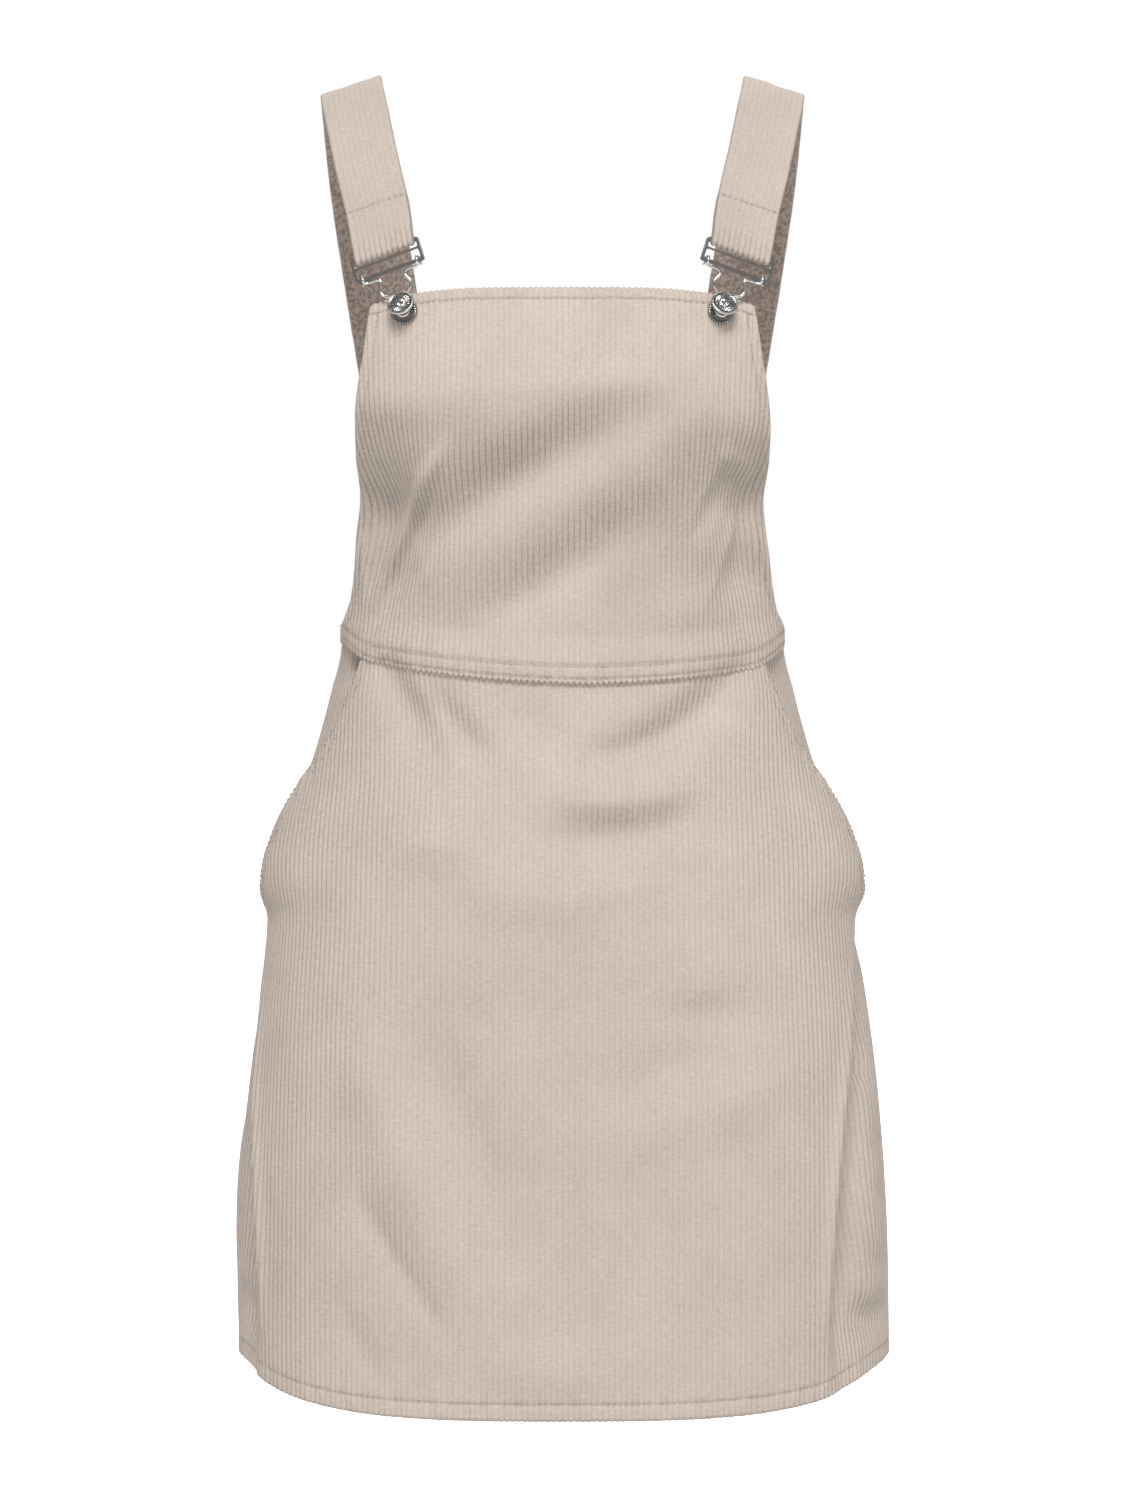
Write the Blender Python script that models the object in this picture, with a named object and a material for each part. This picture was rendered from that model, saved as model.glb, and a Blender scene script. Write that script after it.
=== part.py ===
"""A wide-wale corduroy pinafore dress in its worn shape, held up by its two shoulder straps.

The cloth hangs round an open hollow: a bib front and a lower bodice back are lapped over an A-line
skirt at the waist seam, two straps run from the back over the shoulders to wire hooks, and the hooks
sit on shank buttons at the bib's top corners. Curved pocket mouths cut the skirt front's upper corners.

Axes: +X is the wearer's left, the front faces -Y and +Z is up. The origin is the middle of the two
strap crests' undersides, where shoulders carry the dress. Lengths are metres.

Every cloth piece is made from one form. A place on the form has a reach, the cloth's length measured
round the body from the front centre line (+ towards the wearer's left), and a height above the lowest
point of the waist seam. A panel's rows have nominal heights, which the seam's and the hem's curves
then lift.
"""

import math
from collections import namedtuple

import bmesh
import bpy
import numpy as np
from mathutils import Matrix, Vector

# ---------------------------------------------------------------- driving sizes

WAIST_Z = -0.364
CLOTH = 0.0018
SEAM_GAP = 0.0003
LAYER_GAP = 0.0013
UNDER_LAYER = CLOTH + LAYER_GAP

BIB_HEIGHT = 0.235
BIB_CORNER_DROP = 0.011
BIB_CORNER_ROUND = 0.050
BIB_CORNER_POWER = 4
BACK_HEIGHT = 0.146
HEM_HEIGHT = -0.470

SEAM_SIDE_RISE = 0.0150
SEAM_RISE_REACH = 0.180
SEAM_RISE_POWER = 1.6
SEAM_LOW_REACH = 0.018
SEAM_FADE = 0.160
TUCK = 0.0020
TUCK_FADE = 0.030
LAP_DEPTH = 0.0097
LAP_FADE = 0.020
LAP_LIES_BELOW = 0.004
LAP_JOINS_ABOVE = 0.020
BODICE_FADE_START = 0.012
BODICE_FADE_END = 0.090
BACK_MIDDLE = 0.006

POCKET_UNDERLAP = 0.034
POCKET_BAG_UNDERLAP = 0.085
POCKET_BAG_WIDENS = 0.100
POCKET_SHOW_START = 0.15
POCKET_SHUT = 0.004
POCKET_OPEN = 0.016
BAG_CLEARANCE = 2.8
MOUTH_SPREAD = 0.042

STRAP_THICKNESS = 0.0028
STRAP_LOOP_THICKNESS = 0.0056
STRAP_LOOP_LENGTH = 0.030
STRAP_LOOP_FADE = 0.003
STRAP_TURN_HALF_WIDTH = 0.0202
STRAP_TURN_RADIUS = 0.0030
STRAP_TURN_ANGLES = (-80, -50, -20)
STRAP_LEAVES_BAR = 0.0035
STRAP_SETTLES = 0.020
STRAP_SETTLE_LIFT = 0.0014
STRAP_LAP_STARTS = 0.179
STRAP_LAP_ENDS = 0.150
STRAP_LAP_CENTRE = 0.112
STRAP_LAP_SLANT = 0.16
STRAP_LAP_HALF_WIDTH = 0.0255

BUTTON_REACH = 0.0985
BUTTON_HEIGHT = 0.2205
BUTTON_TILT = math.radians(24)
BUTTON_LEAN = math.radians(-10)
TACK_HOLE_RADIUS = 0.0014
TACK_HOLE_HALF_LENGTH = 0.006

HOOK_LEAN = math.radians(20)
HOOK_WIRE = 0.0018
HOOK_LIFT = 0.0029
HOOK_DROP = 0.0270
CURL_START = 0.0195
CURL_END = 0.0182
CURL_STEPS = 8
CURL_FIRST_ANGLE = 240
CURL_SWEEP = 210

FRAME_WIDTH = 0.0456
FRAME_THICKNESS = 0.0016
FRAME_CORNER = 0.0016
FRAME_TOP_BAR = 0.0026
FRAME_STRAP_SLOT = 0.0036
FRAME_STRAP_SLOT_CORNER = 0.0009
FRAME_MIDDLE_BAR = 0.0012
FRAME_OPEN_SLOT = 0.0062
FRAME_OPEN_SLOT_CORNER = 0.0014
FRAME_LOWER_BAR = 0.0024
FRAME_SIDE_BAR = 0.0020
BAR_HOLE_LENGTH = 0.060
BAR_HOLE_GAP = 0.0008
BAR_HOLE_CORNER = 0.0004

# ---------------------------------------------------------------- the form's tables

# Level rings: half width at the sides, depth in front and behind, and how square each half's plan is
# (2 is an ellipse).
Level = namedtuple("Level", "height half_width front back front_square back_square")
FORM = (
    Level(-0.490, 0.2135, 0.1250, 0.1130, 2.60, 2.40),
    Level(-0.420, 0.2125, 0.1220, 0.1130, 2.60, 2.40),
    Level(-0.354, 0.2105, 0.1190, 0.1140, 2.60, 2.35),
    Level(-0.288, 0.2055, 0.1165, 0.1145, 2.60, 2.30),
    Level(-0.222, 0.1980, 0.1140, 0.1145, 2.50, 2.25),
    Level(-0.163, 0.1915, 0.1120, 0.1110, 2.20, 2.20),
    Level(-0.124, 0.1875, 0.1095, 0.1055, 2.08, 2.15),
    Level(-0.098, 0.1785, 0.1060, 0.0985, 2.05, 2.10),
    Level(-0.072, 0.1645, 0.1020, 0.0920, 2.05, 2.10),
    Level(-0.046, 0.1560, 0.0975, 0.0850, 2.05, 2.10),
    Level(-0.020, 0.1490, 0.0935, 0.0790, 2.05, 2.10),
    Level(0.000, 0.1435, 0.0920, 0.0765, 2.05, 2.10),
    Level(0.015, 0.1420, 0.0920, 0.0770, 2.08, 2.10),
    Level(0.040, 0.1435, 0.0920, 0.0800, 2.10, 2.10),
    Level(0.080, 0.1470, 0.0945, 0.0860, 2.30, 2.15),
    Level(0.120, 0.1530, 0.1000, 0.0910, 2.50, 2.20),
    Level(0.165, 0.1600, 0.1030, 0.0930, 2.80, 2.30),
    Level(0.205, 0.1660, 0.0955, 0.0900, 3.00, 2.30),
    Level(0.245, 0.1680, 0.0865, 0.0850, 3.00, 2.30),
)

# The fold that drops from each pocket's lower end: how far before the side seam its valley lies, how
# deep it is pressed in and how wide it is. A lower crest runs beside it.
Fold = namedtuple("Fold", "height before_side depth width")
SIDE_FOLD = (
    Fold(-0.480, 0.030, 0.0020, 0.028),
    Fold(-0.445, 0.034, 0.0045, 0.024),
    Fold(-0.410, 0.040, 0.0095, 0.017),
    Fold(-0.360, 0.043, 0.0135, 0.013),
    Fold(-0.300, 0.040, 0.0140, 0.012),
    Fold(-0.240, 0.032, 0.0125, 0.013),
    Fold(-0.200, 0.018, 0.0090, 0.016),
    Fold(-0.175, 0.006, 0.0045, 0.020),
    Fold(-0.150, 0.000, 0.0000, 0.020),
)
FOLD_CREST_BEFORE = 0.021
FOLD_CREST_WIDTH = 0.009
FOLD_CREST_SHARE = 0.25

# Soft flutes of the skirt back: reach from the back centre, height where each starts, rise at the hem.
Flute = namedtuple("Flute", "from_back start rise width")
BACK_FLUTES = (
    Flute(-0.150, -0.17, 0.0050, 0.030),
    Flute(-0.072, -0.24, -0.0045, 0.028),
    Flute(0.010, -0.20, 0.0035, 0.034),
    Flute(0.090, -0.26, -0.0050, 0.026),
    Flute(0.162, -0.18, 0.0045, 0.030),
)

# How far the hem is lifted, by the cloth's length from the side seam.
Lift = namedtuple("Lift", "from_side rise")
HEM_LIFT = (
    Lift(0.000, 0.0170),
    Lift(0.040, 0.0205),
    Lift(0.068, 0.0195),
    Lift(0.084, 0.0147),
    Lift(0.102, 0.0110),
    Lift(0.127, 0.0070),
    Lift(0.155, 0.0036),
    Lift(0.190, 0.0013),
    Lift(0.260, 0.0000),
    Lift(0.300, 0.0000),
)
HEM_LIFT_START = 0.34

# ---------------------------------------------------------------- the pieces' outlines

# Armhole edges, from the side seam up: reach from the front centre, and from the back centre.
Edge = namedtuple("Edge", "height reach")
BIB_SIDE = (
    Edge(0.0135, 0.1800),
    Edge(0.0180, 0.1680),
    Edge(0.0250, 0.1580),
    Edge(0.0360, 0.1530),
    Edge(0.0700, 0.1450),
    Edge(0.1000, 0.1415),
    Edge(0.1300, 0.1375),
    Edge(0.1650, 0.1310),
    Edge(0.2000, 0.1260),
    Edge(0.2240, 0.1228),
    Edge(0.2350, 0.1205),
)
BACK_SIDE = (
    Edge(0.0135, 0.1800),
    Edge(0.0190, 0.1650),
    Edge(0.0300, 0.1540),
    Edge(0.0500, 0.1440),
    Edge(0.0750, 0.1390),
    Edge(0.1050, 0.1375),
    Edge(0.1460, 0.1390),
)

# The pocket mouth from its lower end at the side seam to the waist: how far before the seam it lies
# and how far it stands off the hip.
Mouth = namedtuple("Mouth", "height before_side stand")
POCKET_MOUTH = (
    Mouth(-0.1660, 0.0000, 0.0000),
    Mouth(-0.1600, 0.0030, 0.0020),
    Mouth(-0.1520, 0.0130, 0.0055),
    Mouth(-0.1400, 0.0210, 0.0080),
    Mouth(-0.1240, 0.0240, 0.0085),
    Mouth(-0.0980, 0.0220, 0.0065),
    Mouth(-0.0720, 0.0240, 0.0045),
    Mouth(-0.0590, 0.0320, 0.0030),
    Mouth(-0.0490, 0.0380, 0.0020),
    Mouth(-0.0300, 0.0450, 0.0008),
    Mouth(0.0000, 0.0510, 0.0000),
    Mouth(0.0200, 0.0530, 0.0000),
)

# The strap's centre line from the shoulder's front to the bodice back, and how its width lies: how
# steeply it falls outwards and how far it turns its outer edge back (+) or forward (-), in degrees.
Station = namedtuple("Station", "x y z width fall turn")
STRAP = (
    Station(0.1152, -0.0735, -0.0800, 0.0410, 18, 10),
    Station(0.1227, -0.0605, -0.0490, 0.0410, 18, 7),
    Station(0.1290, -0.0425, -0.0215, 0.0410, 18, 4),
    Station(0.1332, -0.0215, -0.0055, 0.0410, 18, 0),
    Station(0.1350, 0.0000, 0.0014, 0.0410, 18, 0),
    Station(0.1352, 0.0220, -0.0052, 0.0415, 17, -2),
    Station(0.1337, 0.0420, -0.0240, 0.0430, 15, -6),
    Station(0.1302, 0.0560, -0.0540, 0.0455, 12, -11),
    Station(0.1225, 0.0655, -0.1050, 0.0485, 9, -18),
    Station(0.1140, 0.0700, -0.1600, 0.0500, 8, -23),
    Station(0.1050, 0.0705, -0.2150, 0.0510, 7, -25),
    Station(0.1005, 0.0690, -0.2450, 0.0510, 7, -25),
)

# Half of the hook, in the buckle's own plane: across and up from the lower bar's centre, out of it.
WirePoint = namedtuple("WirePoint", "across up out")
HOOK_HALF = (
    WirePoint(0.0180, -0.0012, 0.0024),
    WirePoint(0.0176, -0.0026, 0.0010),
    WirePoint(0.0155, -0.0029, 0.0004),
    WirePoint(0.0125, -0.0029, 0.0002),
    WirePoint(0.0095, -0.0031, 0.0),
    WirePoint(0.0080, -0.0043, 0.0),
    WirePoint(0.0081, -0.0062, 0.0),
    WirePoint(0.0094, -0.0086, 0.0),
    WirePoint(0.0101, -0.0112, 0.0),
    WirePoint(0.0090, -0.0138, 0.0),
    WirePoint(0.0064, -0.0158, 0.0),
    WirePoint(0.0042, -0.0178, 0.0),
    WirePoint(0.0035, -0.0215, 0.0),
    WirePoint(0.0035, -0.0270, 0.0),
)
HOOK_END_ANGLES = (30, 60, 90)

Ring = namedtuple("Ring", "radius height")
BUTTON_CAP = (
    Ring(0.0000, 0.0098),
    Ring(0.0030, 0.0098),
    Ring(0.0036, 0.0092),
    Ring(0.0067, 0.0089),
    Ring(0.0073, 0.0094),
    Ring(0.0081, 0.0093),
    Ring(0.0086, 0.0085),
    Ring(0.0084, 0.0077),
    Ring(0.0075, 0.0072),
    Ring(0.0024, 0.0069),
    Ring(0.0020, 0.0062),
    Ring(0.0020, 0.0020),
    Ring(0.0000, 0.0014),
)
BUTTON_BASE = (
    Ring(0.0034, 0.0000),
    Ring(0.0080, 0.0000),
    Ring(0.0084, 0.0005),
    Ring(0.0078, 0.0011),
    Ring(0.0055, 0.0014),
    Ring(0.0034, 0.0014),
)
BUTTON_TACK = (
    Ring(0.0000, 0.0001),
    Ring(0.0010, -0.0003),
    Ring(0.0010, -0.0024),
    Ring(0.0048, -0.0026),
    Ring(0.0052, -0.0030),
    Ring(0.0044, -0.0035),
    Ring(0.0000, -0.0037),
)

# ---------------------------------------------------------------- how finely each piece is faceted

# Columns of a half panel, as shares of its reach, closer together where the side fold lies.
FRONT_COLUMNS = (0, 0.12, 0.24, 0.36, 0.48, 0.58, 0.66, 0.70, 0.735, 0.765, 0.795, 0.825, 0.855,
                 0.885, 0.92, 0.96, 1)
FRONT_ROWS = (0.0, -0.020, -0.040, -0.056, -0.070, -0.088, -0.108, -0.128, -0.142, -0.153, -0.160,
              -0.167, -0.190, -0.220, -0.255, -0.300, -0.350, -0.395, -0.430, HEM_HEIGHT)
BACK_ROWS = (0.0, -0.025, -0.055, -0.085, -0.115, -0.145, -0.175, -0.205, -0.240, -0.275, -0.315,
             -0.355, -0.395, -0.435, HEM_HEIGHT)
BIB_ROWS = (BIB_HEIGHT, 0.2280, 0.2130, 0.1900, 0.1650, 0.1380, 0.1100, 0.0820, 0.0580, 0.0380,
            0.0260, 0.0190, 0.0140, 0.0100, 0.0065, 0.0)
BODICE_ROWS = (BACK_HEIGHT, 0.1200, 0.0940, 0.0680, 0.0460, 0.0300, 0.0210, 0.0150, 0.0100, 0.0065,
               0.0)
POCKET_ROWS = (0.0, -0.020, -0.040, -0.060, -0.080, -0.105, -0.130, -0.150, -0.166, -0.195, -0.230,
               -0.262)
SKIRT_BACK_COLUMNS = 26
BIB_COLUMNS = 24
BODICE_COLUMNS = 26
POCKET_HIDDEN_COLUMNS = 7
POCKET_SHOWN_COLUMNS = 3
STRAP_SPANS = 30
STRAP_COLUMNS = 4
STRAP_SPAN_GROWTH = 1.05
WIRE_SPANS_PER_POINT = 1.35
WIRE_BEVEL_STEPS = 2
TURN_SEGMENTS = 24
CORNER_SEGMENTS = 4
SECTION_ANGLES = 361
NORMAL_STEP = 0.0015
ALONG_STEP = 0.001

# ---------------------------------------------------------------- finishes: colour, roughness, metallic

CLOTH_FINISH = ((0.60, 0.50, 0.42), 0.95, 0.0)
STEEL_FINISH = ((0.52, 0.52, 0.53), 0.22, 1.0)
DARK_FINISH = ((0.22, 0.22, 0.22), 0.35, 1.0)


# ---------------------------------------------------------------- smooth tables


def smooth(rows, key):
    """Read every column of a table at key, on smooth curves through its rows."""
    table = np.array(rows, dtype=float)
    places, values = table[:, 0], table[:, 1:]
    steps = np.diff(places)[:, None]
    slopes = np.diff(values, axis=0) / steps
    tangents = np.empty_like(values)
    tangents[1:-1] = (slopes[:-1] * steps[1:] + slopes[1:] * steps[:-1]) / (steps[:-1] + steps[1:])
    tangents[0], tangents[-1] = slopes[0], slopes[-1]
    key = np.clip(key, places[0], places[-1])
    k = int(np.clip(np.searchsorted(places, key, side="right") - 1, 0, len(places) - 2))
    t = (key - places[k]) / steps[k, 0]
    near = (2 * t**3 - 3 * t**2 + 1) * values[k] + (t**3 - 2 * t**2 + t) * steps[k] * tangents[k]
    far = (3 * t**2 - 2 * t**3) * values[k + 1] + (t**3 - t**2) * steps[k] * tangents[k + 1]
    return near + far


def ease(value, low, high):
    """Go from 0 at low to 1 at high with no corner."""
    t = min(max((value - low) / (high - low), 0.0), 1.0)
    return t * t * (3 - 2 * t)


def bump(distance, width):
    """A smooth hump of height 1 at distance 0."""
    return math.exp(-((distance / width) ** 2))


# ---------------------------------------------------------------- the form


class Section:
    """One level ring of the form, with its reach measured from the front centre."""

    def __init__(self, height):
        self.half_width, self.front, self.back, self.front_square, self.back_square = smooth(FORM, height)
        self.angles = np.linspace(0.0, math.pi, SECTION_ANGLES)
        points = np.array([self.at_angle(angle) for angle in self.angles])
        lengths = np.hypot(*np.diff(points, axis=0).T)
        self.reaches = np.concatenate([[0.0], np.cumsum(lengths)])
        self.side = float(np.interp(math.pi / 2, self.angles, self.reaches))
        self.half_round = float(self.reaches[-1])

    def at_angle(self, angle):
        across, along = math.sin(angle), math.cos(angle)
        depth, square = (self.front, self.front_square) if along >= 0 else (self.back, self.back_square)
        radius = (abs(across / self.half_width) ** square + abs(along / depth) ** square) ** (-1 / square)
        return radius * across, -radius * along

    def at_reach(self, reach):
        x, y = self.at_angle(float(np.interp(abs(reach), self.reaches, self.angles)))
        return math.copysign(x, reach), y


SECTIONS = {}


def section(height):
    """The form's ring at a height, kept once it is worked out."""
    key = round(height, 4)
    if key not in SECTIONS:
        SECTIONS[key] = Section(key)
    return SECTIONS[key]


def bare_point(reach, height):
    """A point of the form without folds."""
    x, y = section(height).at_reach(reach)
    return Vector((x, y, WAIST_Z + height))


def normal_of(place, reach, height):
    """Outward normal of a surface given as place(reach, height)."""
    along = place(reach + NORMAL_STEP, height) - place(reach - NORMAL_STEP, height)
    up = place(reach, height + NORMAL_STEP) - place(reach, height - NORMAL_STEP)
    return along.cross(up).normalized()


def fold_depth(reach, height):
    """How far the drape stands out of the form (+) or is pressed into it (-)."""
    level = section(height)
    before_side, depth, width = smooth(SIDE_FOLD, height)
    past_valley = abs(reach) - level.side + before_side
    out = -depth * bump(past_valley, width)
    out += FOLD_CREST_SHARE * depth * bump(past_valley + FOLD_CREST_BEFORE, FOLD_CREST_WIDTH)
    from_back = math.copysign(level.half_round - abs(reach), reach)
    for flute in BACK_FLUTES:
        grown = ease(-height, -flute.start, -HEM_HEIGHT)
        out += grown * flute.rise * bump(from_back - flute.from_back, flute.width)
    return out


def draped_point(reach, height):
    """A point of the form with its folds."""
    return bare_point(reach, height) + normal_of(bare_point, reach, height) * fold_depth(reach, height)


def on_form(reach, height, out=0.0):
    """A point of the draped form, moved out along its normal."""
    return draped_point(reach, height) + normal_of(draped_point, reach, height) * out


def reach_from_back(from_back, height):
    """Turn a reach from the back centre into one from the front centre."""
    return math.copysign(section(height).half_round - abs(from_back), from_back)


def on_back(from_back, height, out):
    """A point of the draped form by its reach from the back centre.

    The middle of the back, where the front's reach changes sign, is joined from its two sides.
    """
    if abs(from_back) >= BACK_MIDDLE:
        return on_form(reach_from_back(from_back, height), height, out)
    left = on_form(reach_from_back(BACK_MIDDLE, height), height, out)
    right = on_form(reach_from_back(-BACK_MIDDLE, height), height, out)
    return right.lerp(left, 0.5 + from_back / (2 * BACK_MIDDLE))


# ---------------------------------------------------------------- seam, hem and edge lines


def seam_rise(reach):
    """Height of the waist seam above its lowest point."""
    share = min(abs(reach - SEAM_LOW_REACH) / SEAM_RISE_REACH, 1.0)
    return SEAM_SIDE_RISE * share**SEAM_RISE_POWER


def hem_lift(reach, nominal):
    """How far the hem kicks up on both sides of a side seam."""
    from_side = abs(abs(reach) - section(HEM_HEIGHT).side)
    return float(smooth(HEM_LIFT, from_side)[0]) * ease(-nominal, HEM_LIFT_START, -HEM_HEIGHT)


def skirt_height(reach, nominal):
    """Height of a skirt row: it follows the waist seam at the top and the lifted hem below."""
    height = nominal + seam_rise(reach) * (1 - ease(-nominal, 0.0, SEAM_FADE))
    return height + TUCK * (1 - ease(-nominal, 0.0, TUCK_FADE)) + hem_lift(reach, nominal)


def bodice_height(reach, nominal):
    """Height of a bodice row: its lowest rows lap over the skirt and follow the waist seam."""
    height = nominal + seam_rise(reach) * (1 - ease(nominal, BODICE_FADE_START, BODICE_FADE_END))
    return height - LAP_DEPTH * (1 - ease(nominal, 0.0, LAP_FADE))


def lap_out(above_seam):
    """How far the bodice's lapped lower edge stands over the skirt."""
    return UNDER_LAYER * (1 - ease(above_seam, LAP_LIES_BELOW, LAP_JOINS_ABOVE))


def side_edge(height):
    """Reach of the front panels' edge at the side seam."""
    return section(height).side - SEAM_GAP / 2


def back_edge(height):
    """Reach of the back panels' edge at the side seam, from the back centre."""
    level = section(height)
    return level.half_round - level.side - SEAM_GAP / 2


def bodice_edge(side_table, full, height):
    """Reach of a bodice panel at a height: to the side seam, and above it to its armhole edge."""
    if height <= side_table[0].height:
        return full
    return min(full, float(smooth(side_table, height)[0]))


def front_edge(height):
    """Where the skirt front ends: at the pocket mouth, and below it at the side seam."""
    if height < POCKET_MOUTH[0].height:
        return side_edge(height)
    return side_edge(height) - float(smooth(POCKET_MOUTH, height)[0])


def mouth_stand(reach, height):
    """How far the pocket mouth gapes away from the hip."""
    if height < POCKET_MOUTH[0].height:
        return 0.0
    before_side, stand = smooth(POCKET_MOUTH, height)
    return float(stand) * bump(section(height).side - before_side - abs(reach), MOUTH_SPREAD)


# ---------------------------------------------------------------- mesh helpers


def add_object(name, shape, finish):
    """Put a mesh or curve in the scene as an object with its own material."""
    body = bpy.data.objects.new(name, shape)
    bpy.context.collection.objects.link(body)
    colour, roughness, metallic = finish
    material = bpy.data.materials.new(name)
    material.use_nodes = True
    shader = material.node_tree.nodes["Principled BSDF"]
    shader.inputs["Base Color"].default_value = (*colour, 1)
    shader.inputs["Roughness"].default_value = roughness
    shader.inputs["Metallic"].default_value = metallic
    shape.materials.append(material)
    return body


def finished_mesh(name, bm, smooth_under):
    """Turn a bmesh into a mesh, smooth where its faces meet under an angle in degrees."""
    bmesh.ops.recalc_face_normals(bm, faces=bm.faces)
    mesh = bpy.data.meshes.new(name)
    bm.to_mesh(mesh)
    bm.free()
    mesh.shade_smooth()
    mesh.set_sharp_from_angle(angle=math.radians(smooth_under))
    return mesh


def closed_sheet(name, outer, inner):
    """Close two grids of the same size into one wall: outer face, inner face and a rim."""
    rows, columns = len(outer), len(outer[0])
    bm = bmesh.new()
    front = [[bm.verts.new(point) for point in row] for row in outer]
    back = [[bm.verts.new(point) for point in row] for row in inner]
    for i in range(rows - 1):
        for j in range(columns - 1):
            bm.faces.new((front[i][j], front[i + 1][j], front[i + 1][j + 1], front[i][j + 1]))
            bm.faces.new((back[i][j], back[i][j + 1], back[i + 1][j + 1], back[i + 1][j]))
    rim = [(0, j) for j in range(columns)]
    rim += [(i, columns - 1) for i in range(1, rows)]
    rim += [(rows - 1, j) for j in range(columns - 2, -1, -1)]
    rim += [(i, 0) for i in range(rows - 2, 0, -1)]
    for (i, j), (k, m) in zip(rim, rim[1:] + rim[:1]):
        bm.faces.new((front[i][j], front[k][m], back[k][m], back[i][j]))
    bmesh.ops.triangulate(bm, faces=bm.faces)
    return add_object(name, finished_mesh(name, bm, 50), CLOTH_FINISH)


def cloth_panel(name, rows, columns, place):
    """Make a panel's wall from place(row, column, out)."""
    outer = [[place(row, column, 0.0) for column in columns] for row in rows]
    inner = [[place(row, column, -CLOTH) for column in columns] for row in rows]
    return closed_sheet(name, outer, inner)


def even_shares(count):
    """Shares from -1 to 1 in equal steps."""
    return tuple(-1 + 2 * k / count for k in range(count + 1))


def rounded_block(name, width, height, depth, corner):
    """A block centred on its origin whose four edges along its depth are rounded."""
    bm = bmesh.new()
    bmesh.ops.create_cube(bm, size=1.0)
    bmesh.ops.scale(bm, vec=(width, height, depth), verts=bm.verts)
    through = [edge for edge in bm.edges if edge.verts[0].co.z * edge.verts[1].co.z < 0]
    bmesh.ops.bevel(bm, geom=through, offset=corner, segments=CORNER_SEGMENTS, profile=0.5,
                    affect="EDGES")
    return finished_mesh(name, bm, 35)


def turned(name, rings, closed=True):
    """Turn a profile about the Z axis. One that isn't closed keeps a bore through its middle."""
    bm = bmesh.new()
    loops = []
    for ring in rings:
        spots = TURN_SEGMENTS if ring.radius else 1
        turns = [2 * math.pi * k / spots for k in range(spots)]
        loops.append([bm.verts.new((ring.radius * math.cos(turn), ring.radius * math.sin(turn), ring.height))
                      for turn in turns])
    pairs = list(zip(loops, loops[1:]))
    if not closed:
        pairs.append((loops[-1], loops[0]))
    for first, second in pairs:
        for k in range(TURN_SEGMENTS):
            n = (k + 1) % TURN_SEGMENTS
            corners = [first[k % len(first)], second[k % len(second)],
                       second[n % len(second)], first[n % len(first)]]
            bm.faces.new(list(dict.fromkeys(corners)))
    return finished_mesh(name, bm, 35)


def cut_away(body, name, shape, matrix):
    """Take a shape out of a body. The cutter stays as a wire guide that isn't rendered."""
    cutter = bpy.data.objects.new(name, shape)
    bpy.context.collection.objects.link(cutter)
    cutter.hide_render = True
    cutter.display_type = "WIRE"
    cutter.matrix_world = matrix
    cut = body.modifiers.new(name, "BOOLEAN")
    cut.operation = "DIFFERENCE"
    cut.solver = "EXACT"
    cut.object = cutter


# ---------------------------------------------------------------- cloth panels


def make_skirt_front():
    def place(nominal, share, out):
        height = skirt_height(share * front_edge(nominal), nominal)
        reach = share * front_edge(height)
        return on_form(reach, height, out + mouth_stand(reach, height))

    columns = tuple(-share for share in reversed(FRONT_COLUMNS[1:])) + FRONT_COLUMNS
    return cloth_panel("skirt_front", FRONT_ROWS, columns, place)


def make_skirt_back():
    def place(nominal, share, out):
        height = skirt_height(reach_from_back(share * back_edge(nominal), nominal), nominal)
        return on_back(share * back_edge(height), height, out)

    return cloth_panel("skirt_back", BACK_ROWS, even_shares(SKIRT_BACK_COLUMNS), place)


def make_bib_front():
    def edge(height):
        return bodice_edge(BIB_SIDE, side_edge(height), height)

    def place(nominal, share, out):
        height = bodice_height(share * edge(nominal), nominal)
        reach = share * edge(height)
        out += lap_out(height - seam_rise(reach))
        to_corner = min(abs(reach) / BIB_SIDE[-1].reach, 1.0) ** BIB_CORNER_POWER
        drop = BIB_CORNER_DROP * to_corner * ease(nominal, BIB_HEIGHT - BIB_CORNER_ROUND, BIB_HEIGHT)
        return on_form(reach, height - drop, out)

    return cloth_panel("bib_front", BIB_ROWS, even_shares(BIB_COLUMNS), place)


def make_bib_back():
    def edge(height):
        return bodice_edge(BACK_SIDE, back_edge(height), height)

    def place(nominal, share, out):
        height = bodice_height(reach_from_back(share * edge(nominal), nominal), nominal)
        from_back = share * edge(height)
        above_seam = height - seam_rise(reach_from_back(from_back, height))
        return on_back(from_back, height, out + lap_out(above_seam))

    return cloth_panel("bib_back", BODICE_ROWS, even_shares(BODICE_COLUMNS), place)


def pocket_turn(height):
    """Reach where the pocket layer comes out from under the skirt front's mouth."""
    return front_edge(height) + POCKET_SHOW_START * (side_edge(height) - front_edge(height))


def pocket_reach(height, column):
    """Reach of one of the pocket layer's columns: first those under the skirt front, then those that show."""
    turn = pocket_turn(height)
    if column > POCKET_HIDDEN_COLUMNS:
        past = (column - POCKET_HIDDEN_COLUMNS) / POCKET_SHOWN_COLUMNS
        return turn + (side_edge(height) - turn) * past
    widened = ease(-height, 0.0, POCKET_BAG_WIDENS)
    inner = front_edge(height) - POCKET_UNDERLAP - (POCKET_BAG_UNDERLAP - POCKET_UNDERLAP) * widened
    return inner + (turn - inner) * column / POCKET_HIDDEN_COLUMNS


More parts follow.
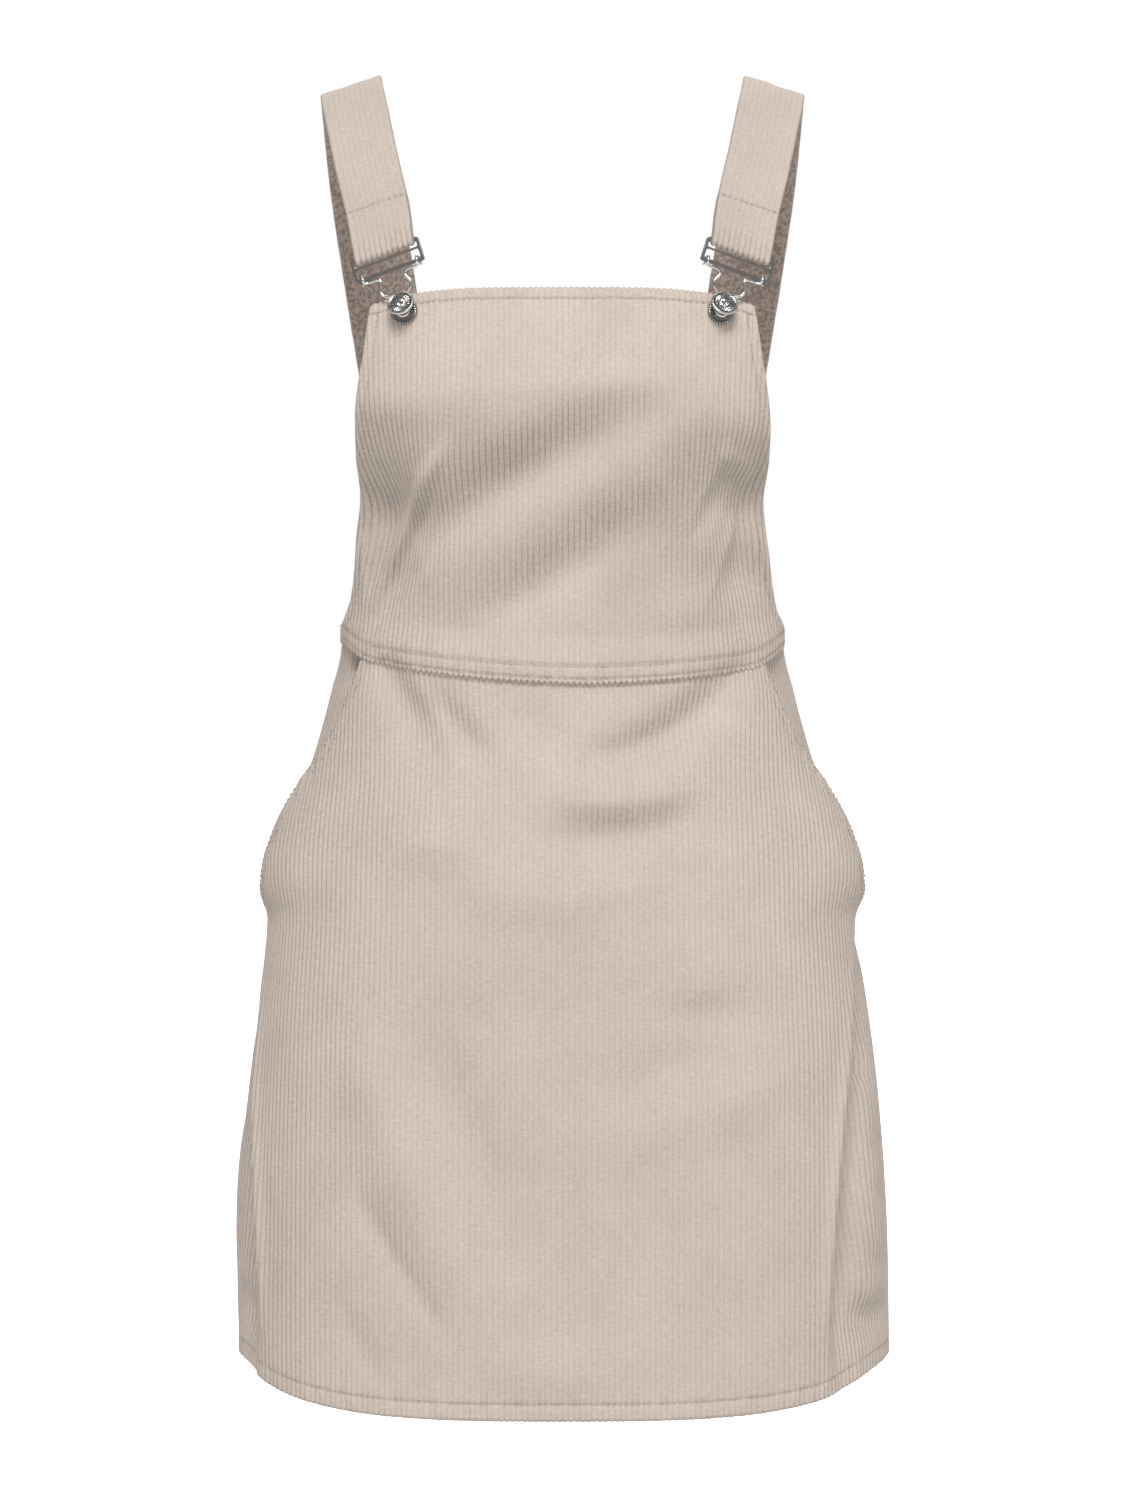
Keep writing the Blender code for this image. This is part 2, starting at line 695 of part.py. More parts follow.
def pocket_sink(reach, height):
    """How far the pocket layer lies inside the form: under the skirt front, and clear of its fold."""
    seam, mouth = side_edge(height), front_edge(height)
    shown = ease(reach, pocket_turn(height), seam + SEAM_GAP) * ease(seam - mouth, POCKET_SHUT, POCKET_OPEN)
    before_side, depth, width = smooth(SIDE_FOLD, height)
    valley = seam - before_side
    inside_fold = depth * (1 - ease(reach, valley, valley + BAG_CLEARANCE * width))
    return inside_fold + UNDER_LAYER * (1 - shown)


def make_pocket(name, side):
    """The pocket's back layer: it shows behind the mouth and hangs straight inside the skirt front."""

    def place(nominal, column, out):
        height = skirt_height(side * section(nominal).side, nominal)
        reach = pocket_reach(height, column)
        out -= pocket_sink(reach, height)
        reach *= side
        return bare_point(reach, height) + normal_of(bare_point, reach, height) * out

    columns = tuple(range(POCKET_HIDDEN_COLUMNS + POCKET_SHOWN_COLUMNS + 1))
    return cloth_panel(name, POCKET_ROWS, columns, place)


# ---------------------------------------------------------------- the buckle's own plane


class BucklePlane:
    """The buckle's own axes: across points outwards, up runs along the strap, out leaves the cloth."""

    def __init__(self, side):
        reach = side * BUTTON_REACH
        self.side = side
        self.button = on_form(reach, BUTTON_HEIGHT, SEAM_GAP)
        self.out = normal_of(draped_point, reach, BUTTON_HEIGHT)
        upright = (Vector((0, 0, 1)) - self.out * self.out.z).normalized()
        outward = self.out.cross(upright) * -side
        self.up = upright * math.cos(HOOK_LEAN) + outward * math.sin(HOOK_LEAN)
        self.across = outward * math.cos(HOOK_LEAN) - upright * math.sin(HOOK_LEAN)
        self.lower_bar = self.button + self.out * HOOK_LIFT + self.up * HOOK_DROP
        half_bars = (FRAME_LOWER_BAR + FRAME_TOP_BAR) / 2
        self.top_bar_up = half_bars + FRAME_OPEN_SLOT + FRAME_MIDDLE_BAR + FRAME_STRAP_SLOT

    def at(self, across=0.0, up=0.0, out=0.0):
        """World point of a place measured from the lower bar's centre."""
        return self.lower_bar + self.across * across + self.up * up + self.out * out

    def matrix(self, place):
        """World matrix of a piece whose own axes are this plane's, without mirroring."""
        across = self.across * self.side
        axes = Matrix((across, self.up, across.cross(self.up))).transposed()
        return Matrix.Translation(place) @ axes.to_4x4()


# ---------------------------------------------------------------- straps


def strap_line(plane):
    """Table of the strap's centre, width and width direction by the length from the top bar."""
    rows = [(*plane.at(up=plane.top_bar_up), 2 * STRAP_TURN_HALF_WIDTH, *plane.across)]
    for station in STRAP:
        fall, turn = math.radians(station.fall), math.radians(station.turn)
        across = Vector((math.cos(turn) * plane.side, math.sin(turn), -math.tan(fall))).normalized()
        rows.append((station.x * plane.side, station.y, station.z, station.width, *across))
    rows = np.array(rows)
    lengths = np.concatenate([[0.0], np.cumsum(np.linalg.norm(np.diff(rows[:, :3], axis=0), axis=1))])
    return np.column_stack([lengths, rows])


def strap_turn(plane, angle):
    """Front and back points where the strap turns round the top bar, at an angle in degrees."""
    turn = math.radians(angle)
    up = plane.top_bar_up + STRAP_TURN_RADIUS * math.sin(turn)
    out = STRAP_TURN_RADIUS * math.cos(turn)
    acrosses = [share * STRAP_TURN_HALF_WIDTH for share in even_shares(STRAP_COLUMNS)]
    return [[plane.at(across, up, side * out) for across in acrosses] for side in (1, -1)]


def strap_section(plane, table, length):
    """Front and back points across the strap at a length along it."""
    values = smooth(table, length)
    centre, width, across = Vector(values[:3]), float(values[3]), Vector(values[4:7]).normalized()
    ahead, behind = smooth(table, length + ALONG_STEP), smooth(table, length - ALONG_STEP)
    out = across.cross(Vector(ahead[:3] - behind[:3])).normalized() * plane.side
    doubled = 1 - ease(length, STRAP_LOOP_LENGTH - STRAP_LOOP_FADE, STRAP_LOOP_LENGTH + STRAP_LOOP_FADE)
    extra = (STRAP_LOOP_THICKNESS - STRAP_THICKNESS) * doubled
    settle = plane.out * (STRAP_SETTLE_LIFT * (1 - ease(length, STRAP_LEAVES_BAR, STRAP_SETTLES)))
    height = centre.z - WAIST_Z
    lapped = ease(-height, -STRAP_LAP_STARTS, -STRAP_LAP_ENDS)
    front, back = [], []
    for share in even_shares(STRAP_COLUMNS):
        middle = centre + across * (share * width / 2) + settle
        from_back = STRAP_LAP_CENTRE + STRAP_LAP_SLANT * (height - BACK_HEIGHT) + share * STRAP_LAP_HALF_WIDTH
        reach = plane.side * (section(height).half_round - from_back)
        outside = middle + out * STRAP_THICKNESS / 2
        inside = middle - out * (STRAP_THICKNESS / 2 + extra)
        front.append(outside.lerp(on_form(reach, height, -UNDER_LAYER), lapped))
        back.append(inside.lerp(on_form(reach, height, -UNDER_LAYER - STRAP_THICKNESS), lapped))
    return front, back


def make_strap(name, plane):
    """A ribbon doubled round the buckle's top bar, whose far end lies inside the bodice back."""
    table = strap_line(plane)
    sections = [strap_turn(plane, angle) for angle in STRAP_TURN_ANGLES]
    run = table[-1, 0] - STRAP_LEAVES_BAR
    for k in range(STRAP_SPANS + 1):
        length = STRAP_LEAVES_BAR + run * (k / STRAP_SPANS) ** STRAP_SPAN_GROWTH
        sections.append(strap_section(plane, table, length))
    strap = closed_sheet(name, [front for front, back in sections], [back for front, back in sections])
    hole = rounded_block(name + "_bar_hole", BAR_HOLE_LENGTH, FRAME_TOP_BAR + BAR_HOLE_GAP,
                         FRAME_THICKNESS + BAR_HOLE_GAP, BAR_HOLE_CORNER)
    cut_away(strap, name + "_bar_hole", hole, plane.matrix(plane.at(up=plane.top_bar_up)))


# ---------------------------------------------------------------- buckles and hooks


def make_frame(name, plane):
    """The flat slide: three bars between two sides, with a slot for the strap and an open slot."""
    height = FRAME_TOP_BAR + FRAME_STRAP_SLOT + FRAME_MIDDLE_BAR + FRAME_OPEN_SLOT + FRAME_LOWER_BAR
    plate = rounded_block(name, FRAME_WIDTH, height, FRAME_THICKNESS, FRAME_CORNER)
    frame = add_object(name, plate, STEEL_FINISH)
    frame.matrix_world = plane.matrix(plane.at(up=(height - FRAME_LOWER_BAR) / 2))
    slot_width = FRAME_WIDTH - 2 * FRAME_SIDE_BAR
    open_up = (FRAME_LOWER_BAR + FRAME_OPEN_SLOT) / 2
    strap_up = open_up + (FRAME_OPEN_SLOT + FRAME_STRAP_SLOT) / 2 + FRAME_MIDDLE_BAR
    slots = (
        ("_open_slot", open_up, FRAME_OPEN_SLOT, FRAME_OPEN_SLOT_CORNER),
        ("_strap_slot", strap_up, FRAME_STRAP_SLOT, FRAME_STRAP_SLOT_CORNER),
    )
    for label, up, tall, corner in slots:
        slot = rounded_block(name + label, slot_width, tall, 4 * FRAME_THICKNESS, corner)
        cut_away(frame, name + label, slot, plane.matrix(plane.at(up=up)))


def curl_points():
    """The wire's end, wound round the lower bar from behind, over its top to its front."""
    radius = math.hypot(FRAME_LOWER_BAR, FRAME_THICKNESS) / 2 + SEAM_GAP + HOOK_WIRE / 2
    points = []
    for k in range(CURL_STEPS):
        angle = math.radians(CURL_FIRST_ANGLE - CURL_SWEEP * k / CURL_STEPS)
        across = CURL_START + (CURL_END - CURL_START) * k / CURL_STEPS
        points.append(WirePoint(across, radius * math.sin(angle), radius * math.cos(angle)))
    return points


def hook_table():
    """The hook's wire from curl to curl, by the length along it."""
    end = HOOK_HALF[-1]
    half = curl_points() + list(HOOK_HALF)
    for angle in HOOK_END_ANGLES:
        turn = math.radians(angle)
        half.append(WirePoint(end.across * math.cos(turn), end.up - end.across * math.sin(turn), 0.0))
    points = half + [point._replace(across=-point.across) for point in reversed(half[:-1])]
    steps = [math.dist(first, second) for first, second in zip(points, points[1:])]
    lengths = np.concatenate([[0.0], np.cumsum(steps)])
    return np.column_stack([lengths, points])


def make_hook(name, plane):
    """The wire hook: one bent wire with a round section and flat ends."""
    table = hook_table()
    spans = round(WIRE_SPANS_PER_POINT * len(table))
    curve = bpy.data.curves.new(name, "CURVE")
    curve.dimensions = "3D"
    curve.bevel_depth = HOOK_WIRE / 2
    curve.bevel_resolution = WIRE_BEVEL_STEPS
    curve.use_fill_caps = True
    spline = curve.splines.new("POLY")
    spline.points.add(spans)
    for k, knot in enumerate(spline.points):
        knot.co = (*plane.at(*smooth(table, table[-1, 0] * k / spans)), 1)
    add_object(name, curve, STEEL_FINISH)


# ---------------------------------------------------------------- buttons


def make_button(label, plane, bib):
    """A shank button: a tilted cap on a short neck, a washer on the bib and a tack through it."""
    flat = plane.matrix(plane.button)
    lean = Matrix.Rotation(plane.side * BUTTON_LEAN, 4, "Z")
    tilt = lean.inverted() @ Matrix.Rotation(-BUTTON_TILT, 4, "X") @ lean
    cap = add_object(f"button_cap_{label}", turned("cap", BUTTON_CAP), STEEL_FINISH)
    cap.matrix_world = flat @ tilt
    base = add_object(f"button_base_{label}", turned("base", BUTTON_BASE, closed=False), STEEL_FINISH)
    base.matrix_world = flat
    tack = add_object(f"button_tack_{label}", turned("tack", BUTTON_TACK), DARK_FINISH)
    tack.matrix_world = flat
    drill = turned("drill", (
        Ring(0.0, TACK_HOLE_HALF_LENGTH),
        Ring(TACK_HOLE_RADIUS, TACK_HOLE_HALF_LENGTH),
        Ring(TACK_HOLE_RADIUS, -TACK_HOLE_HALF_LENGTH),
        Ring(0.0, -TACK_HOLE_HALF_LENGTH),
    ))
    cut_away(bib, f"tack_hole_{label}", drill, flat)


# ---------------------------------------------------------------- the dress


def main():
    for old in list(bpy.data.objects):
        bpy.data.objects.remove(old, do_unlink=True)
    bib = make_bib_front()
    make_bib_back()
    make_skirt_front()
    make_skirt_back()
    for label, side in (("left", 1), ("right", -1)):
        plane = BucklePlane(side)
        make_pocket(f"pocket_{label}", side)
        make_strap(f"strap_{label}", plane)
        make_frame(f"buckle_frame_{label}", plane)
        make_hook(f"hook_{label}", plane)
        make_button(label, plane, bib)


main()
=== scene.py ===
"""Visual model of a wide-wale corduroy pinafore dress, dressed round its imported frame.

Every cloth piece is a thin shell on one worn form. A place on the form has a reach, the cloth's length
round the body from the front centre (+ towards the wearer's left), and a height above the lowest point
of the waist seam. Lengths are metres; +X is the wearer's left, -Y the front and +Z up.
"""

from __future__ import annotations

import logging
import math
from dataclasses import dataclass, field
from enum import Enum
from typing import Callable, NamedTuple, Sequence

import bpy
import numpy as np
from mathutils import Matrix, Vector

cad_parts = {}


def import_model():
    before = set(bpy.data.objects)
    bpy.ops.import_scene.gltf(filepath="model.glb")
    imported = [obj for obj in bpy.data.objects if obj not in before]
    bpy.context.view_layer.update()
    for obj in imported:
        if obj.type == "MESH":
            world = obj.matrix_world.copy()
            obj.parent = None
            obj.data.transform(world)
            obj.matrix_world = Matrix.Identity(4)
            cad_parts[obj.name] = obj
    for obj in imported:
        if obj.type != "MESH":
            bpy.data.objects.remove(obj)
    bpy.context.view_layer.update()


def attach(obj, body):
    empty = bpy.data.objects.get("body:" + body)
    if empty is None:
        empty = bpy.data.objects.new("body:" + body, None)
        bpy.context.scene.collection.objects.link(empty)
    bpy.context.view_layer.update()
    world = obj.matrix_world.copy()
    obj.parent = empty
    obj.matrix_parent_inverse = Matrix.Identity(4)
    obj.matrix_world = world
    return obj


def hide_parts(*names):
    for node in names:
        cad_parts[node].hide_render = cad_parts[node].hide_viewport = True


LOG = logging.getLogger("pinafore")
Array = np.ndarray
Pair = tuple[float, float]
Triple = tuple[float, float, float]
Socket, Node, Tree = bpy.types.NodeSocket, bpy.types.Node, bpy.types.NodeTree
Material, Piece = bpy.types.Material, bpy.types.Object

BODY = "root"

# ---- sizes shared by the pieces

WAIST_Z = -0.364
CLOTH = 0.0018
SEAM_GAP = 0.0003
LAYER_GAP = 0.0013
UNDER_LAYER = CLOTH + LAYER_GAP
BIB_HEIGHT = 0.235
BACK_HEIGHT = 0.146
HEM_HEIGHT = -0.470
SEAM_FADE = 0.160
TUCK = 0.0020
TUCK_FADE = 0.030
LAP_DEPTH = 0.0097
LAP_LIFT = 0.0026
LAP_ENDS = (0.148, 0.180)
LAP_END_FLATTENS = 0.50
LAP_FADE = 0.020
ARMHOLE_HEM_LOWEST = 0.001
LAP_LEAVES = (0.002, 0.020)
BODICE_FADES = (0.012, 0.090)
BIB_CORNER_DROP = 0.011
BIB_CORNER_ROUND = 0.050
BIB_CORNER_POWER = 4

POCKET_UNDERLAP = 0.034
POCKET_BAG_UNDERLAP = 0.085
POCKET_BAG_WIDENS = 0.100
POCKET_SHOW_START = 0.15
POCKET_SHUT = 0.004
POCKET_OPEN = 0.016
BAG_CLEARANCE = 2.8
PIT_BESIDE = 0.005
PIT_WIDTH = 0.0080
PIT_HEIGHT = 0.008
PIT_TALL = 0.010
PIT_DEPTH = 0.0260

STRAP_THICKNESS = 0.0028
STRAP_LOOP_THICKNESS = 0.0056
STRAP_LOOP_LENGTH = 0.030
STRAP_LOOP_FADE = 0.003
STRAP_TURN_HALF_WIDTH = 0.0202
STRAP_TURN_RADIUS = 0.0030
STRAP_LEAVES_BAR = 0.0035
STRAP_SETTLES = 0.020
STRAP_SETTLE_LIFT = 0.0014
STRAP_LAP_STARTS = 0.179
STRAP_LAP_ENDS = 0.150
STRAP_LAP_CENTRE = 0.112
STRAP_LAP_SLANT = 0.16
STRAP_LAP_HALF_WIDTH = 0.0255

BUTTON_REACH = 0.0985
BUTTON_HEIGHT = 0.2205
BUTTON_TILT = math.radians(24)
BUTTON_LEAN = math.radians(-10)

HOOK_LEAN = math.radians(20)
HOOK_WIRE = 0.0018
HOOK_LIFT = 0.0029
HOOK_DROP = 0.0270
CURL_START = 0.0195
CURL_END = 0.0182
CURL_STEPS = 8
CURL_FIRST_ANGLE = 240
CURL_SWEEP = 210

FRAME_WIDTH = 0.0456
FRAME_THICKNESS = 0.0016
FRAME_CORNER = 0.0016
FRAME_TOP_BAR = 0.0026
FRAME_STRAP_SLOT = 0.0036
FRAME_MIDDLE_BAR = 0.0012
FRAME_OPEN_SLOT = 0.0062
FRAME_LOWER_BAR = 0.0024
FRAME_SIDE_BAR = 0.0020

SEAM_SIDE_RISE = 0.0150
SEAM_RISE_REACH = 0.180
SEAM_RISE_POWER = 1.6
SEAM_LOW_REACH = 0.018
SEAM_PULL = 0.0065
SEAM_PULL_GROWS = (0.126, 0.166)
SEAM_PULL_FADES = (0.205, 0.260)


# ---- curves and tables


def ease(value: Array, low: float | Array, high: float | Array) -> Array:
    """Go from 0 at low to 1 at high with no corner."""
    share = np.clip((value - low) / (high - low), 0.0, 1.0)
    return share * share * (3 - 2 * share)


def bump(distance: Array, width: float | Array) -> Array:
    """A smooth hump of height 1 at distance 0."""
    return np.exp(-((distance / width) ** 2))


def unit(vector: Array) -> Array:
    """A vector of length 1."""
    return vector / np.linalg.norm(vector, axis=-1, keepdims=True)


def lengths_along(points: Array) -> Array:
    """Length of a line of points up to each of them."""
    return np.concatenate([[0.0], np.cumsum(np.linalg.norm(np.diff(points, axis=0), axis=1))])


def metres(*rows: float | Sequence[float]) -> Array:
    """A table written in millimetres, in metres."""
    return np.array(rows) / 1000


class SmoothTable:
    """Smooth curves through the rows of a table, whose first column is the place."""

    def __init__(self, rows: Sequence[Sequence[float]]) -> None:
        """Work out the curves' slopes."""
        table = np.array(rows, dtype=float)
        self.places, self.values = table[:, 0], table[:, 1:]
        self.steps = np.diff(self.places)[:, None]
        slopes = np.diff(self.values, axis=0) / self.steps
        self.tangents = np.empty_like(self.values)
        weighted = slopes[:-1] * self.steps[1:] + slopes[1:] * self.steps[:-1]
        self.tangents[1:-1] = weighted / (self.steps[:-1] + self.steps[1:])
        self.tangents[0], self.tangents[-1] = slopes[0], slopes[-1]

    def at(self, place: Array | float) -> list[Array]:
        """Read every column at a place.

        Args:
            place: One place or an array of them.

        Returns:
            One array for each column of values.
        """
        place = np.clip(np.asarray(place, float), self.places[0], self.places[-1])
        k = np.clip(np.searchsorted(self.places, place, side="right") - 1, 0, len(self.places) - 2)
        step = self.steps[k, 0]
        t = (place - self.places[k]) / step
        near, far = 2 * t**3 - 3 * t**2 + 1, 3 * t**2 - 2 * t**3
        leave, arrive = (t**3 - 2 * t**2 + t) * step, (t**3 - t**2) * step
        return [
            near * self.values[k, c] + far * self.values[k + 1, c]
            + leave * self.tangents[k, c] + arrive * self.tangents[k + 1, c]
            for c in range(self.values.shape[1])
        ]


# ---- the worn form

# One row for each level ring: its height, half width and depth in front and behind, in millimetres, then
# the squareness of the front half's plan and of the back half's.
LEVELS = (
    (-490, 213.5, 125, 113, 2.6, 2.4), (-420, 212.5, 122, 113, 2.6, 2.4),
    (-354, 210.5, 119, 114, 2.6, 2.35), (-288, 205.5, 116.5, 114.5, 2.6, 2.3),
    (-222, 198, 114, 114.5, 2.5, 2.25), (-163, 191.5, 112, 111, 2.2, 2.2),
    (-124, 187.5, 109.5, 105.5, 2.08, 2.15), (-98, 178.5, 106, 98.5, 2.05, 2.1),
    (-72, 164.5, 102, 92, 2.05, 2.1), (-46, 156, 97.5, 85, 2.05, 2.1), (-20, 149, 93.5, 79, 2.05, 2.1),
    (0, 143.5, 92, 76.5, 2.05, 2.1), (15, 142, 92, 77, 2.08, 2.1), (40, 143.5, 92, 80, 2.1, 2.1),
    (80, 147, 94.5, 86, 2.3, 2.15), (120, 153, 100, 91, 2.5, 2.2), (165, 160, 103, 93, 2.8, 2.3),
    (205, 166, 95.5, 90, 3, 2.3), (245, 168, 86.5, 85, 3, 2.3),
)

# The fold that drops from a pocket's end. Columns: height, the valley's distance before the side seam,
# depth and width.
SIDE_FOLD = SmoothTable(metres(
    (-480, 32, 2, 26), (-445, 37, 6, 20), (-410, 42, 12.5, 13), (-360, 43, 17.5, 10),
    (-300, 40, 18, 9.5), (-240, 32, 15.5, 10.5), (-200, 18, 10, 14), (-175, 6, 4.5, 20),
    (-150, 0, 0, 20),
))
FOLD_CREST_BEFORE = 0.0100
FOLD_CREST_WIDTH = 0.0060
FOLD_CREST_SHARE = 0.20
FOLD_STEEP = 0.60
FOLD_GENTLE = 2.20
# How much further forward the fold lies. Columns: height, shift on the wearer's right and on the left.
FOLD_SHIFTS = SmoothTable(metres(
    (-460, 22, 58), (-394, 18, 50), (-332, 10, 42), (-282, 2, 33), (-250, 0, 25), (-200, 0, 18),
    (-150, 0, 6),
))


class Flute(NamedTuple):
    """A soft flute of the skirt back: reach from the back centre, start, rise at the hem and width."""

    from_back: float
    start: float
    rise: float
    width: float


BACK_FLUTES = tuple(Flute(*row) for row in metres(
    (-150, -170, 5, 30), (-72, -240, -4.5, 28), (10, -200, 3.5, 34), (90, -260, -5, 26),
    (162, -180, 4.5, 30),
))

# How far the hem kicks up, by the distance from a side seam.
HEM_LIFT = SmoothTable(metres(
    (0, 17), (40, 19.5), (56, 18), (70, 15.2), (84, 12.2), (102, 8.2), (127, 4.6), (155, 2), (190, 0.6),
    (260, 0), (300, 0),
))
HEM_LIFT_START = 0.34

# The armhole edges' reach by height, in front and behind.
BIB_SIDE = SmoothTable(metres(
    (20, 180), (24, 169), (30, 162), (40, 156.2), (70, 147), (100, 142.5), (130, 138.5), (165, 133.5),
    (200, 126), (224, 122.8), (235, 120.5),
))
BACK_SIDE = SmoothTable(metres(
    (20, 180), (25, 165), (35, 153), (52, 143.5), (75, 139), (105, 137.5), (146, 139),
))
# The pocket mouth. Columns: height, distance before the side seam and how far its edge stands off.
POCKET_MOUTH = SmoothTable(metres(
    (-166, 0, 0), (-160, 3, 2), (-152, 13, 5.5), (-140, 21, 8), (-124, 24, 8.5), (-98, 22, 6.5),
    (-72, 24, 5.2), (-59, 32, 4.2), (-49, 36.5, 3.6), (-30, 41.5, 3.6), (-8, 44.8, 2.4), (0, 45.5, 1.4),
    (20, 47, 0),
))
MOUTH_LOWEST = -0.166
MOUTH_HEM_LOWEST = -0.162
MOUTH_SPREAD = 0.042

# The strap's centre line. Columns: x, y, z and width in millimetres, then the fall outwards and the turn
# of the outer edge in degrees.
STRAP = (
    (115.2, -73.5, -80, 41, 18, 10), (122.7, -60.5, -49, 41, 18, 7), (129, -42.5, -21.5, 41, 18, 4),
    (133.2, -21.5, -5.5, 41, 18, 0), (135, 0, 1.4, 41, 18, 0), (135.2, 22, -5.2, 41.5, 17, -2),
    (133.7, 42, -24, 43, 15, -6), (130.2, 56, -54, 45.5, 12, -11), (122.5, 65.5, -105, 48.5, 9, -18),
    (114, 70, -160, 50, 8, -23), (105, 70.5, -215, 51, 7, -25), (100.5, 69, -245, 51, 7, -25),
)
# Half of the hook's wire past its curl: across, up and out from the lower bar's centre.
HOOK_HALF = metres(
    (18, -1.2, 2.4), (17.6, -2.6, 1), (15.5, -2.9, 0.4), (12.5, -2.9, 0.2), (9.5, -3.1, 0),
    (8, -4.3, 0), (8.1, -6.2, 0), (9.4, -8.6, 0), (10.1, -11.2, 0), (9, -13.8, 0), (6.4, -15.8, 0),
    (4.2, -17.8, 0), (3.5, -21.5, 0), (3.5, -27, 0),
)
HOOK_END_ANGLES = (30, 60, 90)
# Radius and height of the rings of the button's cap and of its washer.
BUTTON_CAP = metres(
    (0.1, 9.8), (3, 9.8), (3.6, 9.2), (6.7, 8.9), (7.3, 9.4), (8.1, 9.3), (8.6, 8.5), (8.4, 7.7),
    (7.5, 7.2), (2.4, 6.9), (2, 6.2), (2, 2), (0.1, 1.4),
)
BUTTON_BASE = metres(
    (3.4, 0), (8, 0), (8.4, 0.5), (7.8, 1.1), (5.5, 1.4), (3.4, 1.4),
)


class Form:
    """The worn body of cloth: level rings blended from the hem to the bib's top."""

    LOWEST, HIGHEST, STEP = -0.500, 0.250, 0.001
    ANGLES, SHARES = 721, 1201

    def __init__(self) -> None:
        """Lay out the rings and measure the cloth's length round each."""
        self.heights = np.arange(self.LOWEST, self.HIGHEST + self.STEP / 2, self.STEP)
        levels = [(*metres(*row[:4]), *row[4:]) for row in LEVELS]
        self.plan = np.array(SmoothTable(levels).at(self.heights))
        angles = np.linspace(0.0, math.pi, self.ANGLES)
        x, y = self._ring(angles, [column[:, None] for column in self.plan])
        runs = np.cumsum(np.hypot(np.diff(x, axis=1), np.diff(y, axis=1)), axis=1)
        reaches = np.concatenate([np.zeros((len(self.heights), 1)), runs], axis=1)
        self.half_rounds = reaches[:, -1]
        self.sides = reaches[:, self.ANGLES // 2]
        shares = np.linspace(0.0, 1.0, self.SHARES)
        self.angle_at_share = np.array([
            np.interp(shares * whole, reach, angles) for whole, reach in zip(self.half_rounds, reaches)
        ])

    @staticmethod
    def _ring(angle: Array, plan: Sequence[Array]) -> tuple[Array, Array]:
        """Points of a ring at an angle from the front centre."""
        half_width, front, back, front_square, back_square = plan
        across, along = np.sin(angle), np.cos(angle)
        ahead = along >= 0
        depth, square = np.where(ahead, front, back), np.where(ahead, front_square, back_square)
        radius = (np.abs(across / half_width) ** square + np.abs(along / depth) ** square) ** (-1 / square)
        return radius * across, -radius * along

    def side(self, height: Array | float) -> Array:
        """Reach of the side seam at a height."""
        return np.interp(height, self.heights, self.sides)

    def half_round(self, height: Array | float) -> Array:
        """Reach of the back centre at a height."""
        return np.interp(height, self.heights, self.half_rounds)

    def other_way(self, reach: Array, height: Array) -> Array:
        """Turn a reach from one centre line into one from the other."""
        return np.copysign(self.half_round(height) - np.abs(reach), reach)

    def _plan_at(self, height: Array) -> list[Array]:
        """Plan sizes of the rings at each height."""
        return [np.interp(height, self.heights, column) for column in self.plan]

    def _flat_point(self, reach: Array, height: Array) -> tuple[Array, Array, list[Array]]:
        """Plan point of a reach, and the plan sizes there."""
        share = np.clip(np.abs(reach) / self.half_round(height), 0.0, 1.0) * (self.SHARES - 1)
        level = np.clip((height - self.LOWEST) / self.STEP, 0, len(self.heights) - 1.001)
        i, j = level.astype(int), np.minimum(share.astype(int), self.SHARES - 2)
        up, along = level - i, share - j
        table = self.angle_at_share
        low = table[i, j] * (1 - along) + table[i, j + 1] * along
        high = table[i + 1, j] * (1 - along) + table[i + 1, j + 1] * along
        plan = self._plan_at(height)
        x, y = self._ring(low * (1 - up) + high * up, plan)
        return np.where(reach < 0, -x, x), y, plan

    def bare(self, reach: Array, height: Array) -> tuple[Array, Array]:
        """Points of the form and its outward normals.

        Args:
            reach: Reach from the front centre.
            height: Height above the waist seam's lowest point.

        Returns:
            Points and unit normals, with a last axis of 3.
        """
        x, y, plan = self._flat_point(reach, height)
        half_width, front, back, front_square, back_square = plan
        ahead = y < 0
        depth, square = np.where(ahead, front, back), np.where(ahead, front_square, back_square)
        out_x = np.sign(x) * np.abs(x / half_width) ** (square - 1) / half_width
        out_y = np.sign(y) * np.abs(y / depth) ** (square - 1) / depth
        x_up, y_up, _ = self._flat_point(reach, height + self.STEP)
        x_down, y_down, _ = self._flat_point(reach, height - self.STEP)
        out_z = -(out_x * (x_up - x_down) + out_y * (y_up - y_down)) / (2 * self.STEP)
        normal = unit(np.stack([out_x, out_y, out_z], axis=-1))
        return np.stack([x, y, WAIST_Z + height], axis=-1), normal

    @staticmethod
    def side_fold(reach: Array, height: Array) -> tuple[Array, Array, Array]:
        """The side fold's distance before the side seam, its depth and its width."""
        before_side, depth, width = SIDE_FOLD.at(height)
        on_right, on_left = FOLD_SHIFTS.at(height)
        return before_side + np.where(reach > 0, on_left, on_right), depth, width

    def fold_depth(self, reach: Array, height: Array) -> Array:
        """How far the drape stands out of the form (+) or is pressed into it (-)."""
        before_side, depth, width = self.side_fold(reach, height)
        past_valley = np.abs(reach) - self.side(height) + before_side
        out = -depth * bump(past_valley, width * np.where(past_valley < 0, FOLD_STEEP, FOLD_GENTLE))
        out = out + FOLD_CREST_SHARE * depth * bump(past_valley + FOLD_CREST_BEFORE, FOLD_CREST_WIDTH)
        from_back = self.other_way(reach, height)
        for flute in BACK_FLUTES:
            grown = ease(-height, -flute.start, -HEM_HEIGHT)
            out = out + grown * flute.rise * bump(from_back - flute.from_back, flute.width)
        return out


